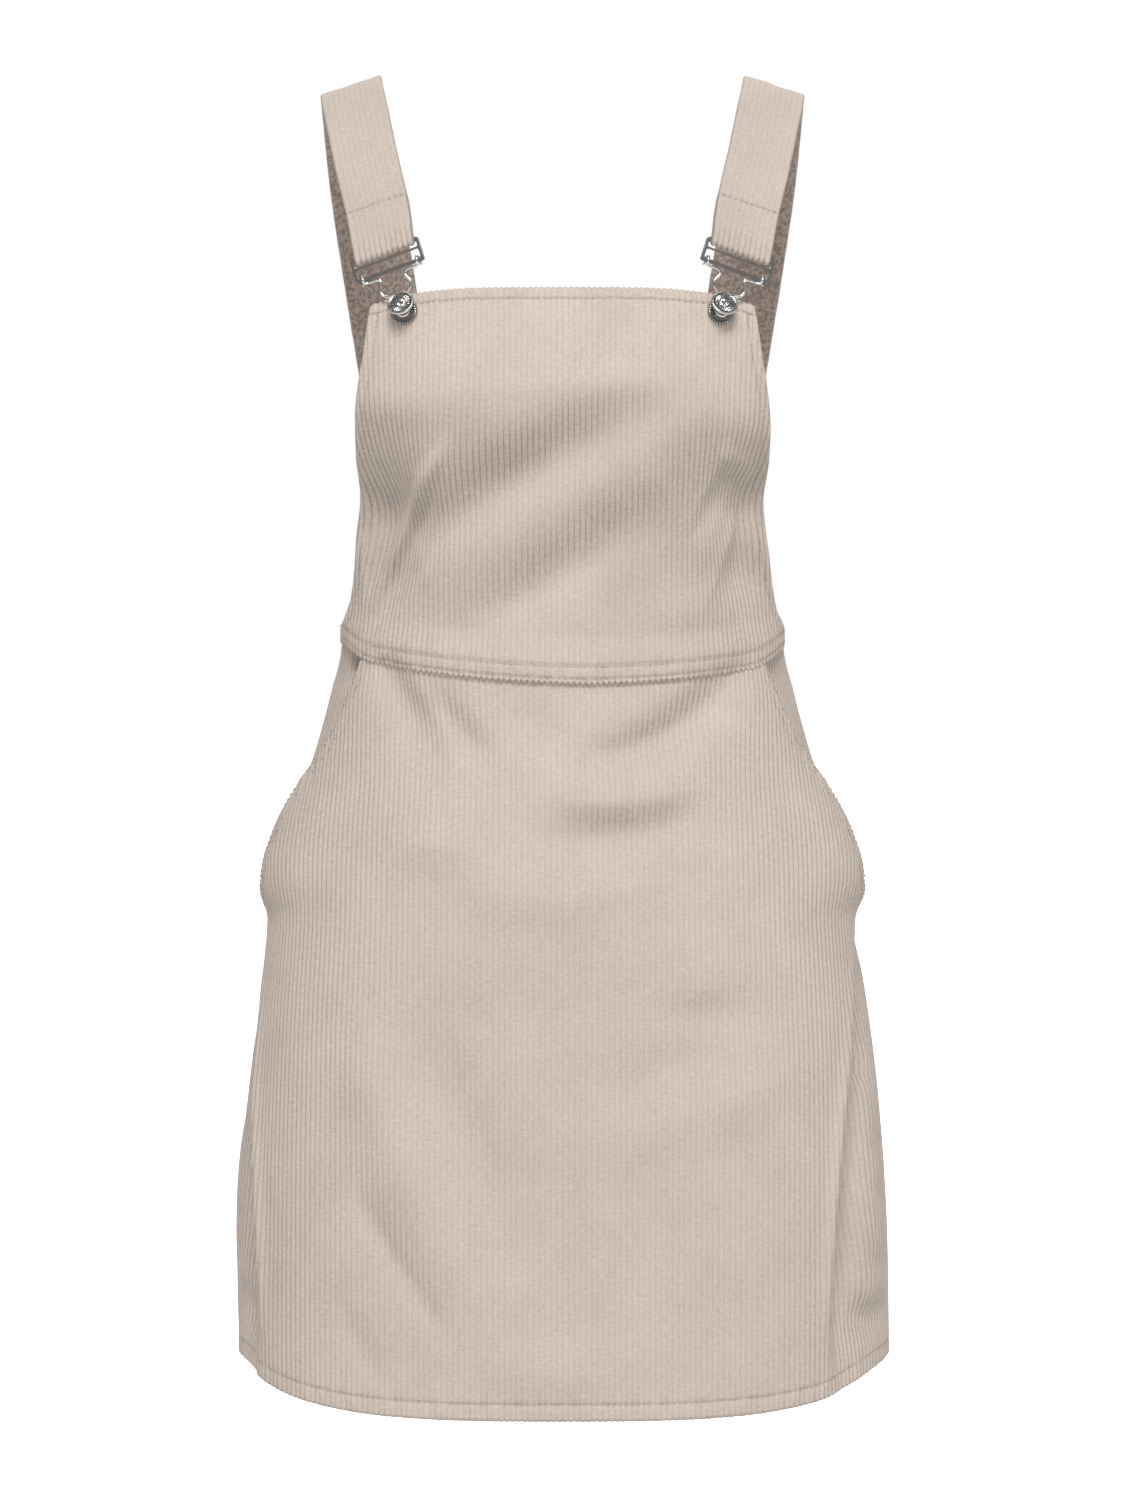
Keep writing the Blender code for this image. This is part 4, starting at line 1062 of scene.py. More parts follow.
class Stitcher:
    """Sews rows of stitches into one mesh."""

    STATIONS = np.array([0.0, 0.22, 0.5, 0.78, 1.0])
    SWELL = np.array([0.25, 0.9, 1.0, 0.9, 0.25])
    ARCH = np.array([-0.9, 0.3, 1.0, 0.3, -0.9])

    def __init__(self, thread: Thread) -> None:
        """Start with no stitch."""
        self.thread = thread
        self.parts = MeshParts()

    def sew(self, points: Array, normals: Array) -> None:
        """Lay stitches along a row.

        Args:
            points: Points along the row, on the cloth.
            normals: The cloth's outward normals there.
        """
        thread = self.thread
        along = lengths_along(points)
        pitch = thread.length + thread.gap
        count = int(along[-1] / pitch)
        if count < 1:
            return
        starts = (along[-1] - count * pitch + thread.gap) / 2 + pitch * np.arange(count)
        where = starts[:, None] + self.STATIONS * thread.length
        centre, out = (
            np.stack([np.interp(where, along, line[:, axis]) for axis in range(3)], axis=-1)
            for line in (points, normals)
        )
        out = unit(out)
        run = unit(centre[:, -1] - centre[:, 0])
        across = unit(np.cross(out, run[:, None, :]))
        turns = 2 * math.pi * np.arange(thread.sides)[:, None] / thread.sides
        ring = np.cos(turns) * across[:, :, None] + np.sin(turns) * out[:, :, None]
        centre = centre + out * (self.ARCH * thread.rise)[:, None]
        body = centre[:, :, None] + ring * (thread.radius * self.SWELL)[:, None, None]
        index = self.parts.add_grid(body)
        self.parts.add_faces(np.roll(around(index), -1, -1))
        self.parts.add_faces(index[:, 0])
        self.parts.add_faces(index[:, -1], flip=True)


class Sewn(NamedTuple):
    """Places along one row of stitches."""

    reach: Array
    height: Array


def stepped(start: float, *legs: Pair) -> Array:
    """Places from a start, each leg going on to its end in steps of about its size."""
    places = [start]
    for end, step in legs:
        count = max(1, round(abs(end - places[-1]) / step))
        places.extend(np.linspace(places[-1], end, count + 1)[1:])
    return np.array(places)


# ---- cloth panels


class Sense(Enum):
    """Which centre line a panel's reach is measured from."""

    FRONT = "front"
    BACK = "back"


class Scallop(NamedTuple):
    """How far the wales' crests push an edge, and how far inwards that fades."""

    rise: float
    fade: float

    def push(self, inward: Array) -> Array:
        """How far a crest is pushed at a distance inside the edge."""
        return self.rise * (1 - ease(inward, 0.0, self.fade))


HEM_SCALLOP = Scallop(0.0004, 0.0020)
TOP_SCALLOP = Scallop(0.0009, 0.0025)
LAP_SCALLOP = Scallop(0.0017, 0.0022)
HemRows = list[tuple[Hem, Array, Array]]
EDGE_STEPS = (0.0, 0.0005, 0.0014)
EDGE_ROUNDS = 8
STITCH_SINK = 0.00022
FAR_OFF = 0.1  # a distance at which no hem is felt


@dataclass
class Panel:
    """A cloth panel on the worn form, with its wales, hems, stitches and creases."""

    form: Form
    wardrobe: Wardrobe
    name: str = ""
    node: str = ""
    sense: Sense = Sense.FRONT
    creases: tuple[Crease, ...] = ()
    bends: tuple[Bend, ...] = ()
    flat: Pair = (1.0, 1.0)
    flat_area: float = 1.0
    held: str = "draped"
    rests_on: tuple[str, ...] = ()
    seed: float = 1.0

    # ---- what each panel says for itself

    def rows(self) -> Array:
        """Nominal heights of the mesh rows, from the top down."""
        raise NotImplementedError

    def height(self, reach: Array, nominal: Array) -> Array:
        """Height of a row at a reach."""
        raise NotImplementedError

    def edge(self, height: Array) -> Array:
        """Reach of the high edge at a height."""
        return self.side_edge(height)

    def edges(self, height: Array) -> tuple[Array, Array]:
        """Reaches of the low and the high edge at a height."""
        edge = self.edge(height)
        return -edge, edge

    def out(self, reach: Array, height: Array) -> Array:
        """How far the panel's plain surface stands off the draped form."""
        return np.zeros(np.broadcast(reach, height).shape)

    def hems(self, reach: Array, height: Array, nominal: Array) -> HemRows:
        """The panel's hems, each with the places' distance from it and their place along it."""
        return []

    def scallop(self, nominal: Array) -> Array:
        """How far the wales' crests push a row's height."""
        return np.zeros(np.shape(nominal))

    def sewn_rows(self) -> list[Sewn]:
        """The panel's rows of stitches."""
        return []

    # ---- shared

    def from_front(self, reach: Array, height: Array) -> Array:
        """Turn the panel's own reach into one from the front centre."""
        return reach if self.sense is Sense.FRONT else self.form.other_way(reach, height)

    def side_edge(self, height: Array) -> Array:
        """Reach of the side seam's edge, in the panel's own sense."""
        side = self.form.side(height)
        return (side if self.sense is Sense.FRONT else self.form.half_round(height) - side) - SEAM_GAP / 2

    def sewn_across(self, nominal: float, inset: float, count: int) -> Sewn:
        """A row of stitches along one row, ending a little inside the panel's edges."""
        end = float(self.edge_on_rows(np.array([nominal]), 1)[0]) - inset
        reach = np.linspace(-end, end, count)
        return Sewn(reach, self.height(reach, np.full(count, nominal)))

    def edge_height(self, reach: Array, nominal: Array) -> Array:
        """Height at which a row meets the panel's edge."""
        return self.height(reach, nominal)

    def surface(self, reach: Array, height: Array) -> Array:
        """Points of the creased panel without wales."""
        turned = self.from_front(reach, height)
        point, normal = self.form.bare(turned, height)
        out = self.form.fold_depth(turned, height) + self.out(reach, height)
        out = out + crease_depth(self.creases, reach, height)
        return point + normal * out[..., None]

    def place(self, reach: Array, height: Array) -> tuple[Array, Array]:
        """Points of the creased panel and its normals."""
        flip = self.sense is Sense.BACK
        return self.surface(reach, height), surface_normals(self.surface, reach, height, flip)

    def edge_on_rows(self, nominal: Array, side: int) -> Array:
        """Reach of one edge where each row meets it."""
        reach = self.edges(nominal)[side]
        for _ in range(EDGE_ROUNDS):
            reach = self.edges(self.edge_height(reach, nominal))[side]
        return reach

    def laid_out(self, columns: Array, nominal: Array) -> tuple[Array, Array, Array]:
        """Place the columns on every row and end them at the panel's edges.

        Args:
            columns: Reaches of the mesh columns.
            nominal: Nominal heights of the rows.

        Returns:
            Reach, reach before the wales swing aside, and column number of every vertex. Past an edge
            the number repeats.
        """
        rows = nominal[:, None]
        low, high = (self.edge_on_rows(nominal, side)[:, None] for side in (0, 1))
        swung = columns + bend_shift(self.bends, columns, rows)
        margin, spare = EDGE_STEPS[-1], 0.02 * WALES.pitch
        count = len(columns)
        first = (swung <= low + margin + spare).sum(axis=1, keepdims=True) - 1
        last = count - (swung >= high - margin - spare).sum(axis=1, keepdims=True)
        number = np.clip(np.arange(count), first, last)
        reach = np.where(number == first, low + margin, np.where(number == last, high - margin, swung))
        inner_steps = np.array(EDGE_STEPS[:-1])
        reach = np.concatenate([low + inner_steps, reach, high - inner_steps[::-1]], axis=1)
        extra = len(EDGE_STEPS) - 1
        ends = np.broadcast_to(np.arange(extra), (len(nominal), extra))
        number = np.concatenate([ends, number + extra, ends + count + extra], axis=1)
        unswung = reach - bend_shift(self.bends, reach, rows)
        inner = slice(extra, -extra)
        at_end = (number[:, inner] - extra == first) | (number[:, inner] - extra == last)
        unswung[:, inner] = np.where(at_end, unswung[:, inner], columns)
        return reach, unswung, number

    def dressed(self, reach: Array, unswung: Array, nominal: Array) -> tuple[Array, Array, Array, Array]:
        """Give places their height, hem relief and wales.

        Args:
            reach: Places' reach.
            unswung: Their reach before the wales swing aside.
            nominal: Their rows' nominal heights.

        Returns:
            Points on the plain surface, normals, how far the face stands out, and the extra thickness.
        """
        crest = WALES.crest(unswung)
        height = self.height(reach, nominal)
        full, relief, thick = np.ones(reach.shape), np.zeros(reach.shape), np.zeros(reach.shape)
        for k, (hem, inward, along) in enumerate(self.hems(reach, height, nominal)):
            full = full * hem.fullness(inward)
            relief = relief + hem.relief(inward, along, self.seed + 3 * k)
            thick = np.maximum(thick, hem.thickness(inward))
        height = height + self.scallop(nominal) * crest
        point, normal = self.place(reach, height)
        return point, normal, relief + WALES.rise * full * (crest - WALES.level), thick

    def build(self) -> Piece:
        """Make the panel's shell: waled face, plain wrong side and the rim between them."""
        nominal = self.rows()
        low, high = (self.edge_on_rows(nominal, side) for side in (0, 1))
        columns = WALES.columns(low.min(), high.max())
        parts = MeshParts()
        grids = []
        for layer, used in enumerate((columns, columns[:: len(WALES.steps)])):
            reach, unswung, number = self.laid_out(used, nominal)
            rows = np.broadcast_to(nominal[:, None], reach.shape)
            point, normal, relief, thick = self.dressed(reach, unswung, rows)
            out = relief if layer == 0 else -CLOTH - thick
            uv = np.stack([unswung, self.height(reach, rows)], axis=-1) / WALES.pitch
            own = parts.add_grid(point + normal * out[..., None], uv)
            index = own[:, :1] + number
            grids.append((index, reach))
            for corners in strips(index):
                parts.add_faces(corners, layer, (self.sense is Sense.BACK) != (layer == 1))
        self.close(parts, grids)
        return parts.to_object(self.name, (self.wardrobe.face, self.wardrobe.wrong_side))

    def close(self, parts: MeshParts, grids: Sequence[tuple[Array, Array]]) -> None:
        """Close the face and the wrong side with a rim.

        Args:
            parts: The mesh in the making.
            grids: Vertex numbers and reaches of the face and of the wrong side.
        """
        (face, face_reach), (back, back_reach) = grids
        flip = self.sense is Sense.BACK
        for column, turned in ((0, flip), (-1, not flip)):
            f, b = face[:, column], back[:, column]
            parts.add_faces(np.stack([f[:-1], b[:-1], b[1:], f[1:]], axis=-1), flip=turned)
        for row, turned in ((0, flip), (-1, not flip)):
            triangles = zipped(face[row], face_reach[row], back[row], back_reach[row])
            parts.add_faces(triangles, flip=turned)

    def sew(self) -> Piece | None:
        """Make the panel's stitches, or nothing where it has none."""
        rows = self.sewn_rows()
        if not rows:
            return None
        stitcher = Stitcher(Thread())
        for row in rows:
            point, normal = self.place(row.reach, row.height)
            stitcher.sew(point - normal * STITCH_SINK, normal)
        return stitcher.parts.to_object(self.name + "_stitches", (self.wardrobe.thread,))

    def make(self) -> None:
        """Build the panel with its stitches and hand both to the frame."""
        piece, stitches = self.build(), self.sew()
        hand_over(piece, "corduroy", self.node)
        if stitches:
            hand_over(stitches, "corduroy")
        list(self.rests_on)


def zipped(near: Array, near_reach: Array, far: Array, far_reach: Array) -> Array:
    """Triangles between two lines of vertices that run side by side.

    Args:
        near: Vertex numbers of the face's line, which may repeat.
        near_reach: Their reaches.
        far: Vertex numbers of the wrong side's line.
        far_reach: Their reaches.

    Returns:
        The triangles' corners.
    """
    lines = []
    for numbers, reaches in ((near, near_reach), (far, far_reach)):
        keep = np.concatenate([[True], np.diff(numbers) != 0])
        lines.append((numbers[keep], reaches[keep]))
    (a, ra), (b, rb) = lines
    i, j, triangles = 0, 0, []
    while i < len(a) - 1 or j < len(b) - 1:
        if j == len(b) - 1 or (i < len(a) - 1 and ra[i + 1] <= rb[j + 1]):
            triangles.append((a[i], a[i + 1], b[j]))
            i += 1
        else:
            triangles.append((a[i], b[j + 1], b[j]))
            j += 1
    return np.array(triangles)


def hand_over(piece: Piece, slot: str, *nodes: str) -> None:
    """Tell the frame what carries a piece and the nodes that it replaces, and log it."""
    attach(piece, BODY)
    if nodes:
        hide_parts(*nodes)
    LOG.info("%s: %d faces", piece.name, len(piece.data.polygons))


SIDE_HEM = Hem((0.0072,))
TOP_HEM = Hem((0.0063,), pucker=0.00040)
MOUTH_HEM = Hem((0.0020, 0.0072), groove=0.00080, groove_width=0.00085, pucker=0.00055, roll=0.0009)
SKIRT_HEM = Hem((0.0105,), pucker=0.00055, groove=0.00045)
LAP_HEM = Hem((0.0022, 0.0097), groove=0.00060, pucker=0.00030, flatten=0.70, roll=0.0008, extra=0.0003)
SEAM_EDGE = Hem((), roll=0.0011)
Edge = Callable[[Array], Array]
SLOPE_STEP = 0.001


def edge_slope(edge: Edge, height: Array) -> Array:
    """How fast an edge's reach changes with height."""
    return (edge(height + SLOPE_STEP) - edge(height - SLOPE_STEP)) / (2 * SLOPE_STEP)


def inward_from(edge: Edge, reach: Array, height: Array) -> Array:
    """Distance of places inside an edge, square to it, where reach is measured towards the edge."""
    return (edge(height) - reach) / np.hypot(1.0, edge_slope(edge, height))


def along_edge(edge: Edge, heights: Array, inward: float, side: int) -> Sewn:
    """A row of stitches that keeps its distance from an edge.

    Args:
        edge: Gives the edge's reach at a height.
        heights: Heights of the places on the edge.
        inward: Distance from the edge.
        side: Which side of the panel, -1 or 1.

    Returns:
        The row.
    """
    slope = edge_slope(edge, heights)
    length = np.hypot(1.0, slope)
    return Sewn(side * (edge(heights) - inward / length), heights + inward * slope / length)


WAIST_LEGS = ((-0.008, 0.008), (-0.016, 0.004))
HEM_LEGS = ((-0.4579, 0.0024), (-0.4611, 0.0008), (-0.468, 0.0035), (HEM_HEIGHT, 0.0010))


@dataclass
class SkirtPanel(Panel):
    """What the skirt's front and back share: waist and hem lines."""

    def hem_lift(self, reach: Array, nominal: Array) -> Array:
        """How far the hem kicks up on both sides of a side seam."""
        from_side = np.abs(np.abs(reach) - self.form.side(HEM_HEIGHT))
        return HEM_LIFT.at(from_side)[0] * ease(-nominal, HEM_LIFT_START, -HEM_HEIGHT)

    def height(self, reach: Array, nominal: Array) -> Array:
        """Follow the waist seam at the top and the lifted hem below."""
        turned = self.from_front(reach, nominal)
        height = nominal + seam_rise(turned) * (1 - ease(-nominal, 0.0, SEAM_FADE))
        return height + TUCK * (1 - ease(-nominal, 0.0, TUCK_FADE)) + self.hem_lift(turned, nominal)

    def scallop(self, nominal: Array) -> Array:
        """Let the wales' crests hang a little lower at the hem."""
        return -HEM_SCALLOP.push(nominal - HEM_HEIGHT)

    def sewn_rows(self) -> list[Sewn]:
        """The hem's row of stitches."""
        return [self.sewn_across(HEM_HEIGHT + SKIRT_HEM.stitches[0], 0.002, 400)]


@dataclass
class SkirtFront(SkirtPanel):
    """The skirt front, cut away at its upper corners along the pocket mouths."""

    def rows(self) -> Array:
        """Rows, closer at the pocket mouths' ends and at the hem."""
        return stepped(0.0, *WAIST_LEGS, (-0.140, 0.0066), (-0.168, 0.0035), (-0.4555, 0.0069), *HEM_LEGS)

    def edge(self, height: Array) -> Array:
        """Reach of the pocket mouth, and below it of the side seam."""
        before = np.where(height < MOUTH_LOWEST, 0.0, POCKET_MOUTH.at(height)[0])
        return self.side_edge(height) - before

    def out(self, reach: Array, height: Array) -> Array:
        """Let the pocket mouths gape away from the hip."""
        before_side, stand = POCKET_MOUTH.at(height)
        stand = np.where(height < MOUTH_LOWEST, 0.0, stand)
        return stand * bump(self.form.side(height) - before_side - np.abs(reach), MOUTH_SPREAD)

    def hems(self, reach: Array, height: Array, nominal: Array) -> HemRows:
        """The hem, and on each side the pocket mouth above the side seam."""
        inward = inward_from(self.edge, np.abs(reach), height)
        at_mouth = height > MOUTH_HEM_LOWEST
        return [
            (SKIRT_HEM, nominal - HEM_HEIGHT, reach),
            (MOUTH_HEM, np.where(at_mouth, inward, FAR_OFF), height),
            (SEAM_EDGE, np.where(at_mouth, FAR_OFF, inward), height),
        ]

    def sewn_rows(self) -> list[Sewn]:
        """The hem's row and two rows along each pocket mouth."""
        heights = stepped(-0.006, (-0.150, 0.002), (MOUTH_LOWEST + 0.002, 0.001))
        return super().sewn_rows() + [
            along_edge(self.edge, heights, inward, side)
            for inward in MOUTH_HEM.stitches for side in (-1, 1)
        ]


@dataclass
class SkirtBack(SkirtPanel):
    """The skirt back."""

    def rows(self) -> Array:
        """Rows, closer at the hem."""
        return stepped(0.0, *WAIST_LEGS, (-0.4555, 0.0071), *HEM_LEGS)

    def hems(self, reach: Array, height: Array, nominal: Array) -> HemRows:
        """The hem and the side seams."""
        seam = self.side_edge(height) - np.abs(reach)
        return [(SKIRT_HEM, nominal - HEM_HEIGHT, reach), (SEAM_EDGE, seam, height)]


@dataclass
class Bodice(Panel):
    """The lower bodice back, and what the bib shares with it: armhole edges above the lapped waist."""

    top: float = BIB_HEIGHT
    side_table: SmoothTable = BIB_SIDE
    skirt_creases: tuple[Crease, ...] = ()

    def rows(self) -> Array:
        """Rows, closer at the hem, and at the lap's two rows of stitches."""
        top = self.top
        return stepped(top, (top - 0.0014, 0.0007), (top - 0.0048, 0.0034), (top - 0.0078, 0.0008),
                       (0.024, 0.0044), (0.009, 0.0025), (0.0054, 0.0008), (0.0034, 0.0020),
                       (0.0, 0.00068))

    def edge(self, height: Array) -> Array:
        """Reach of the armhole edge, and of the side seam below it."""
        seam = self.side_edge(height)
        cut = self.side_table.at(height)[0]
        return np.where(height <= self.side_table.places[0], seam, np.minimum(seam, cut))

    def edge_height(self, reach: Array, nominal: Array) -> Array:
        """Follow the waist seam with the lowest rows, which lap over the skirt."""
        rise = seam_rise(self.from_front(reach, nominal))
        height = nominal + rise * (1 - ease(nominal, *BODICE_FADES))
        return height - LAP_DEPTH * (1 - ease(nominal, 0.0, LAP_FADE))

    def height(self, reach: Array, nominal: Array) -> Array:
        """Height of a row at a reach."""
        return self.edge_height(reach, nominal)

    def above_seam(self, reach: Array, height: Array) -> Array:
        """Height above the waist seam."""
        return height - seam_rise(self.from_front(reach, height))

    def out(self, reach: Array, height: Array) -> Array:
        """Stand off the skirt, and share its creases, where the panel laps over it."""
        share = lapped(self.above_seam(reach, height))
        lift = LAP_LIFT * (1 - LAP_END_FLATTENS * ease(np.abs(reach), *LAP_ENDS))
        return share * (lift + crease_depth(self.skirt_creases, reach, height))

    def hems(self, reach: Array, height: Array, nominal: Array) -> HemRows:
        """The top hem, the armhole hems and the lap."""
        above = self.above_seam(reach, height)
        inward = inward_from(self.edge, np.abs(reach), height)
        bodice = above > ARMHOLE_HEM_LOWEST
        return [
            (TOP_HEM, self.top - nominal, reach),
            (SIDE_HEM, np.where(bodice, inward, FAR_OFF), height),
            (SEAM_EDGE, np.where(bodice, FAR_OFF, self.side_edge(height) - np.abs(reach)), height),
            (LAP_HEM, above + LAP_DEPTH, reach),
        ]

    def scallop(self, nominal: Array) -> Array:
        """Let the wales' crests stand proud at the top edge and at the lap's lower edge."""
        return TOP_SCALLOP.push(self.top - nominal) - LAP_SCALLOP.push(nominal)

    def sewn_rows(self) -> list[Sewn]:
        """Stitches along the top, the armholes and the lap."""
        lines = [self.sewn_across(self.top - inward, 0.0015, 200) for inward in TOP_HEM.stitches]
        heights = stepped(self.top - 0.012, (0.036, 0.002), (0.0230, 0.0006))
        for inward in SIDE_HEM.stitches:
            lines += [along_edge(self.edge, heights, inward, side) for side in (-1, 1)]
        end = float(self.side_edge(0.0200)) - 0.0015
        reach = np.linspace(-end, end, 260)
        rise = seam_rise(self.from_front(reach, 0.0))
        lines += [Sewn(reach, rise - LAP_DEPTH + above) for above in LAP_HEM.stitches]
        return lines


@dataclass
class BibFront(Bodice):
    """The bib, whose top corners droop a little."""

    def height(self, reach: Array, nominal: Array) -> Array:
        """Height of a row at a reach."""
        to_corner = np.minimum(np.abs(reach) / self.side_table.values[-1, 0], 1.0) ** BIB_CORNER_POWER
        drop = BIB_CORNER_DROP * to_corner * ease(nominal, BIB_HEIGHT - BIB_CORNER_ROUND, BIB_HEIGHT)
        return self.edge_height(reach, nominal) - drop


@dataclass
class PocketLayer(SkirtPanel):
    """The pocket's back layer: it shows behind the mouth and hangs hidden inside the skirt front."""

    side: int = 1
    front: SkirtFront | None = None

    def rows(self) -> Array:
        """Rows down to the bag's lower end."""
        return stepped(0.0, (-0.170, 0.0060), (-0.262, 0.012))

    def height(self, reach: Array, nominal: Array) -> Array:
        """Keep level with the side seam."""
        level = super().height(self.form.side(nominal), nominal)
        return np.broadcast_to(level, np.broadcast(reach, nominal).shape)

    def inner_edge(self, height: Array) -> Array:
        """Reach of the bag's hidden edge."""
        widened = ease(-height, 0.0, POCKET_BAG_WIDENS)
        underlap = POCKET_UNDERLAP + (POCKET_BAG_UNDERLAP - POCKET_UNDERLAP) * widened
        return self.front.edge(height) - underlap

    def edges(self, height: Array) -> tuple[Array, Array]:
        """Both edges, in order."""
        inner, outer = self.inner_edge(height), self.side_edge(height)
        return (inner, outer) if self.side > 0 else (-outer, -inner)

    def surface(self, reach: Array, height: Array) -> Array:
        """Lie inside the form under the skirt front, and come out to it behind the mouth."""
        point, normal = self.form.bare(reach, height)
        own = np.abs(reach)
        seam, mouth = self.side_edge(height), self.front.edge(height)
        turn = mouth + POCKET_SHOW_START * (seam - mouth)
        shown = ease(own, turn, seam + SEAM_GAP) * ease(seam - mouth, POCKET_SHUT, POCKET_OPEN)
        before_side, depth, width = self.form.side_fold(reach, height)
        valley = seam - before_side
        clear = valley + BAG_CLEARANCE * FOLD_GENTLE * width
        sink = depth * (1 - ease(own, valley, clear)) + UNDER_LAYER * (1 - shown)
        pressed = np.minimum(crease_depth(self.creases, reach, height), 0.0) * (1 - shown)
        gape = bump(own - mouth - PIT_BESIDE, PIT_WIDTH) * bump(height - PIT_HEIGHT, PIT_TALL)
        sink = sink + PIT_DEPTH * gape * (self.side < 0)
        return point + normal * (pressed - sink)[..., None]

    def hems(self, reach: Array, height: Array, nominal: Array) -> HemRows:
        """The side seam's edge."""
        return [(SEAM_EDGE, self.side_edge(height) - np.abs(reach), height)]

    def scallop(self, nominal: Array) -> Array:
        """Keep the lower edge straight."""
        return np.zeros(np.shape(nominal))

    def sewn_rows(self) -> list[Sewn]:
        """No stitches show."""
        return []


# ---- the buckle's own plane


class BucklePlane:
    """The buckle's own axes: across points outwards, up runs along the strap, out leaves the cloth."""

    def __init__(self, form: Form, side: int) -> None:
        """Find the plane over one button."""
        reach, height = np.array(side * BUTTON_REACH), np.array(BUTTON_HEIGHT)

        def draped(r: Array, h: Array) -> Array:
            """Points of the draped form."""
            point, normal = form.bare(r, h)
            return point + normal * form.fold_depth(r, h)[..., None]

        self.side = side
        self.out = surface_normals(draped, reach, height, False)
        self.button = draped(reach, height) + self.out * SEAM_GAP
        upright = unit(np.array([0.0, 0.0, 1.0]) - self.out * self.out[2])
        outward = np.cross(self.out, upright) * -side
        lean = HOOK_LEAN
        self.up = upright * math.cos(lean) + outward * math.sin(lean)
        self.across = outward * math.cos(lean) - upright * math.sin(lean)
        self.lower_bar = self.button + self.out * HOOK_LIFT + self.up * HOOK_DROP
        half_bars = (FRAME_LOWER_BAR + FRAME_TOP_BAR) / 2
        self.top_bar_up = half_bars + FRAME_OPEN_SLOT + FRAME_MIDDLE_BAR + FRAME_STRAP_SLOT

    def at(self, across: Array | float = 0.0, up: Array | float = 0.0, out: Array | float = 0.0) -> Array:
        """World points of places measured from the lower bar's centre."""
        across, up, out = (np.asarray(value, float)[..., None] for value in (across, up, out))
        return self.lower_bar + self.across * across + self.up * up + self.out * out

    def matrix(self, place: Array) -> Matrix:
        """World matrix of a piece whose own axes are this plane's, without mirroring."""
        across = Vector(self.across * self.side)
        up = Vector(self.up)
        axes = Matrix((across, up, across.cross(up))).transposed()
        return Matrix.Translation(Vector(place)) @ axes.to_4x4()


# ---- straps


